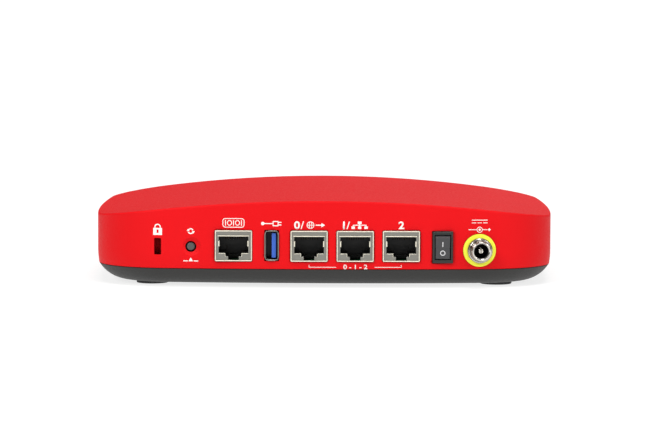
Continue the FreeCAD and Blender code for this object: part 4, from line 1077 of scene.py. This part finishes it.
def legendPointer(x):
    inkTriangle(x, pointer["rise"], pointer["size"], 0)
    for side in (-1, 1):
        across = x + side * pointer["wingAcross"]
        inkBar(across, pointer["rise"] + pointer["wingUp"], *pointer["wing"])


bracket = {
    "rise": 9.4,
    "line": 0.24,
    "left": 11.9,  # how far it runs from each outer port
    "right": 11.6,
    "tick": 1.1,
    "tickUp": 0.45,
    "digits": (0.1, 9.6, "0 - 1 - 2", 2.0, 0.06),
}


def legendBracket(portX):
    # the three network ports together: a bracket round their digits
    first, last, line = portX[0], portX[2], bracket["line"]
    for left, right in ((first, first + bracket["left"]), (last - bracket["right"], last)):
        inkBar((left + right) / 2, bracket["rise"], right - left, line, pieces=8)
    for end in (first, last):
        inkBar(end, bracket["rise"] + bracket["tickUp"], line, bracket["tick"])
    across, *words = bracket["digits"]
    inkDigits(portX[1] + across, *words)


power = {
    "currentRise": 30.1,
    "current": (7.0, 0.3),
    "dashRise": 28.9,
    "dash": (1.9, 0.3),
    "dashApart": 2.5,
    "pinRise": 25.9,
    "ring": (1.3, 0.28),
    "pin": 0.5,
    "lead": (2.2, 0.3),
    "leadAcross": 2.2,
    "sign": (1.3, 0.36),
    "signAcross": 4.2,
}


def legendCurrentAndPin(x):
    # the direct current sign, and the sign for a positive centre pin
    inkBar(x, power["currentRise"], *power["current"])
    for side in (-1, 0, 1):
        inkBar(x + side * power["dashApart"], power["dashRise"], *power["dash"])
    rise = power["pinRise"]
    inkRing(x, rise, *power["ring"])
    inkDisc(x, rise, power["pin"])
    for side in (1, -1):
        inkBar(x + side * power["leadAcross"], rise, *power["lead"])
    for side in (-1, 1):
        inkBar(x + side * power["signAcross"], rise, *power["sign"])
    inkBar(x + power["signAcross"], rise, *reversed(power["sign"]))


for name, draw, place in (
    ("legendPortZero", legendGlobe, portX[0]),
    ("legendPortOne", legendLinkedBoxes, portX[1]),
    ("legendPortTwo", legendTwo, portX[2]),
    ("legendConsole", legendOnesAndNoughts, consoleX),
    ("legendUsb", legendPlug, usbX),
    ("legendLock", legendPadlock, resetX),
    ("legendRestart", legendChasingArrows, resetX),
    ("legendReset", legendPointer, resetX),
    ("legendNetwork", legendBracket, portX),
    ("legendPower", legendCurrentAndPin, inletX),
):
    draw(place)
    printLegend(name, whiteInk)

# the rocker's own marks, which move with it
rockerMarks = {
    "bar": (0.42, 2.2),
    "barUp": 1.35,
    "ring": (1.15, 0.36),
    "ringUp": -2.5,
}

inkBar(switchX, switchZ + rockerMarks["barUp"], *rockerMarks["bar"])
printLegend("markOn", greyInk, "power_rocker", "rocker")
inkRing(switchX, switchZ + rockerMarks["ringUp"], *rockerMarks["ring"])
printLegend("markOff", greyInk, "power_rocker", "rocker")
print("legends printed")

labelLayer("ratingLabel", 0, None, 0, label["thickness"], labelFilm)
labelLayer(
    "ratingLabelRule", label["border"], label["rule"] * mm, label["thickness"],
    label["ruleThickness"], finishes["lead_black"],
)
print("label laid")
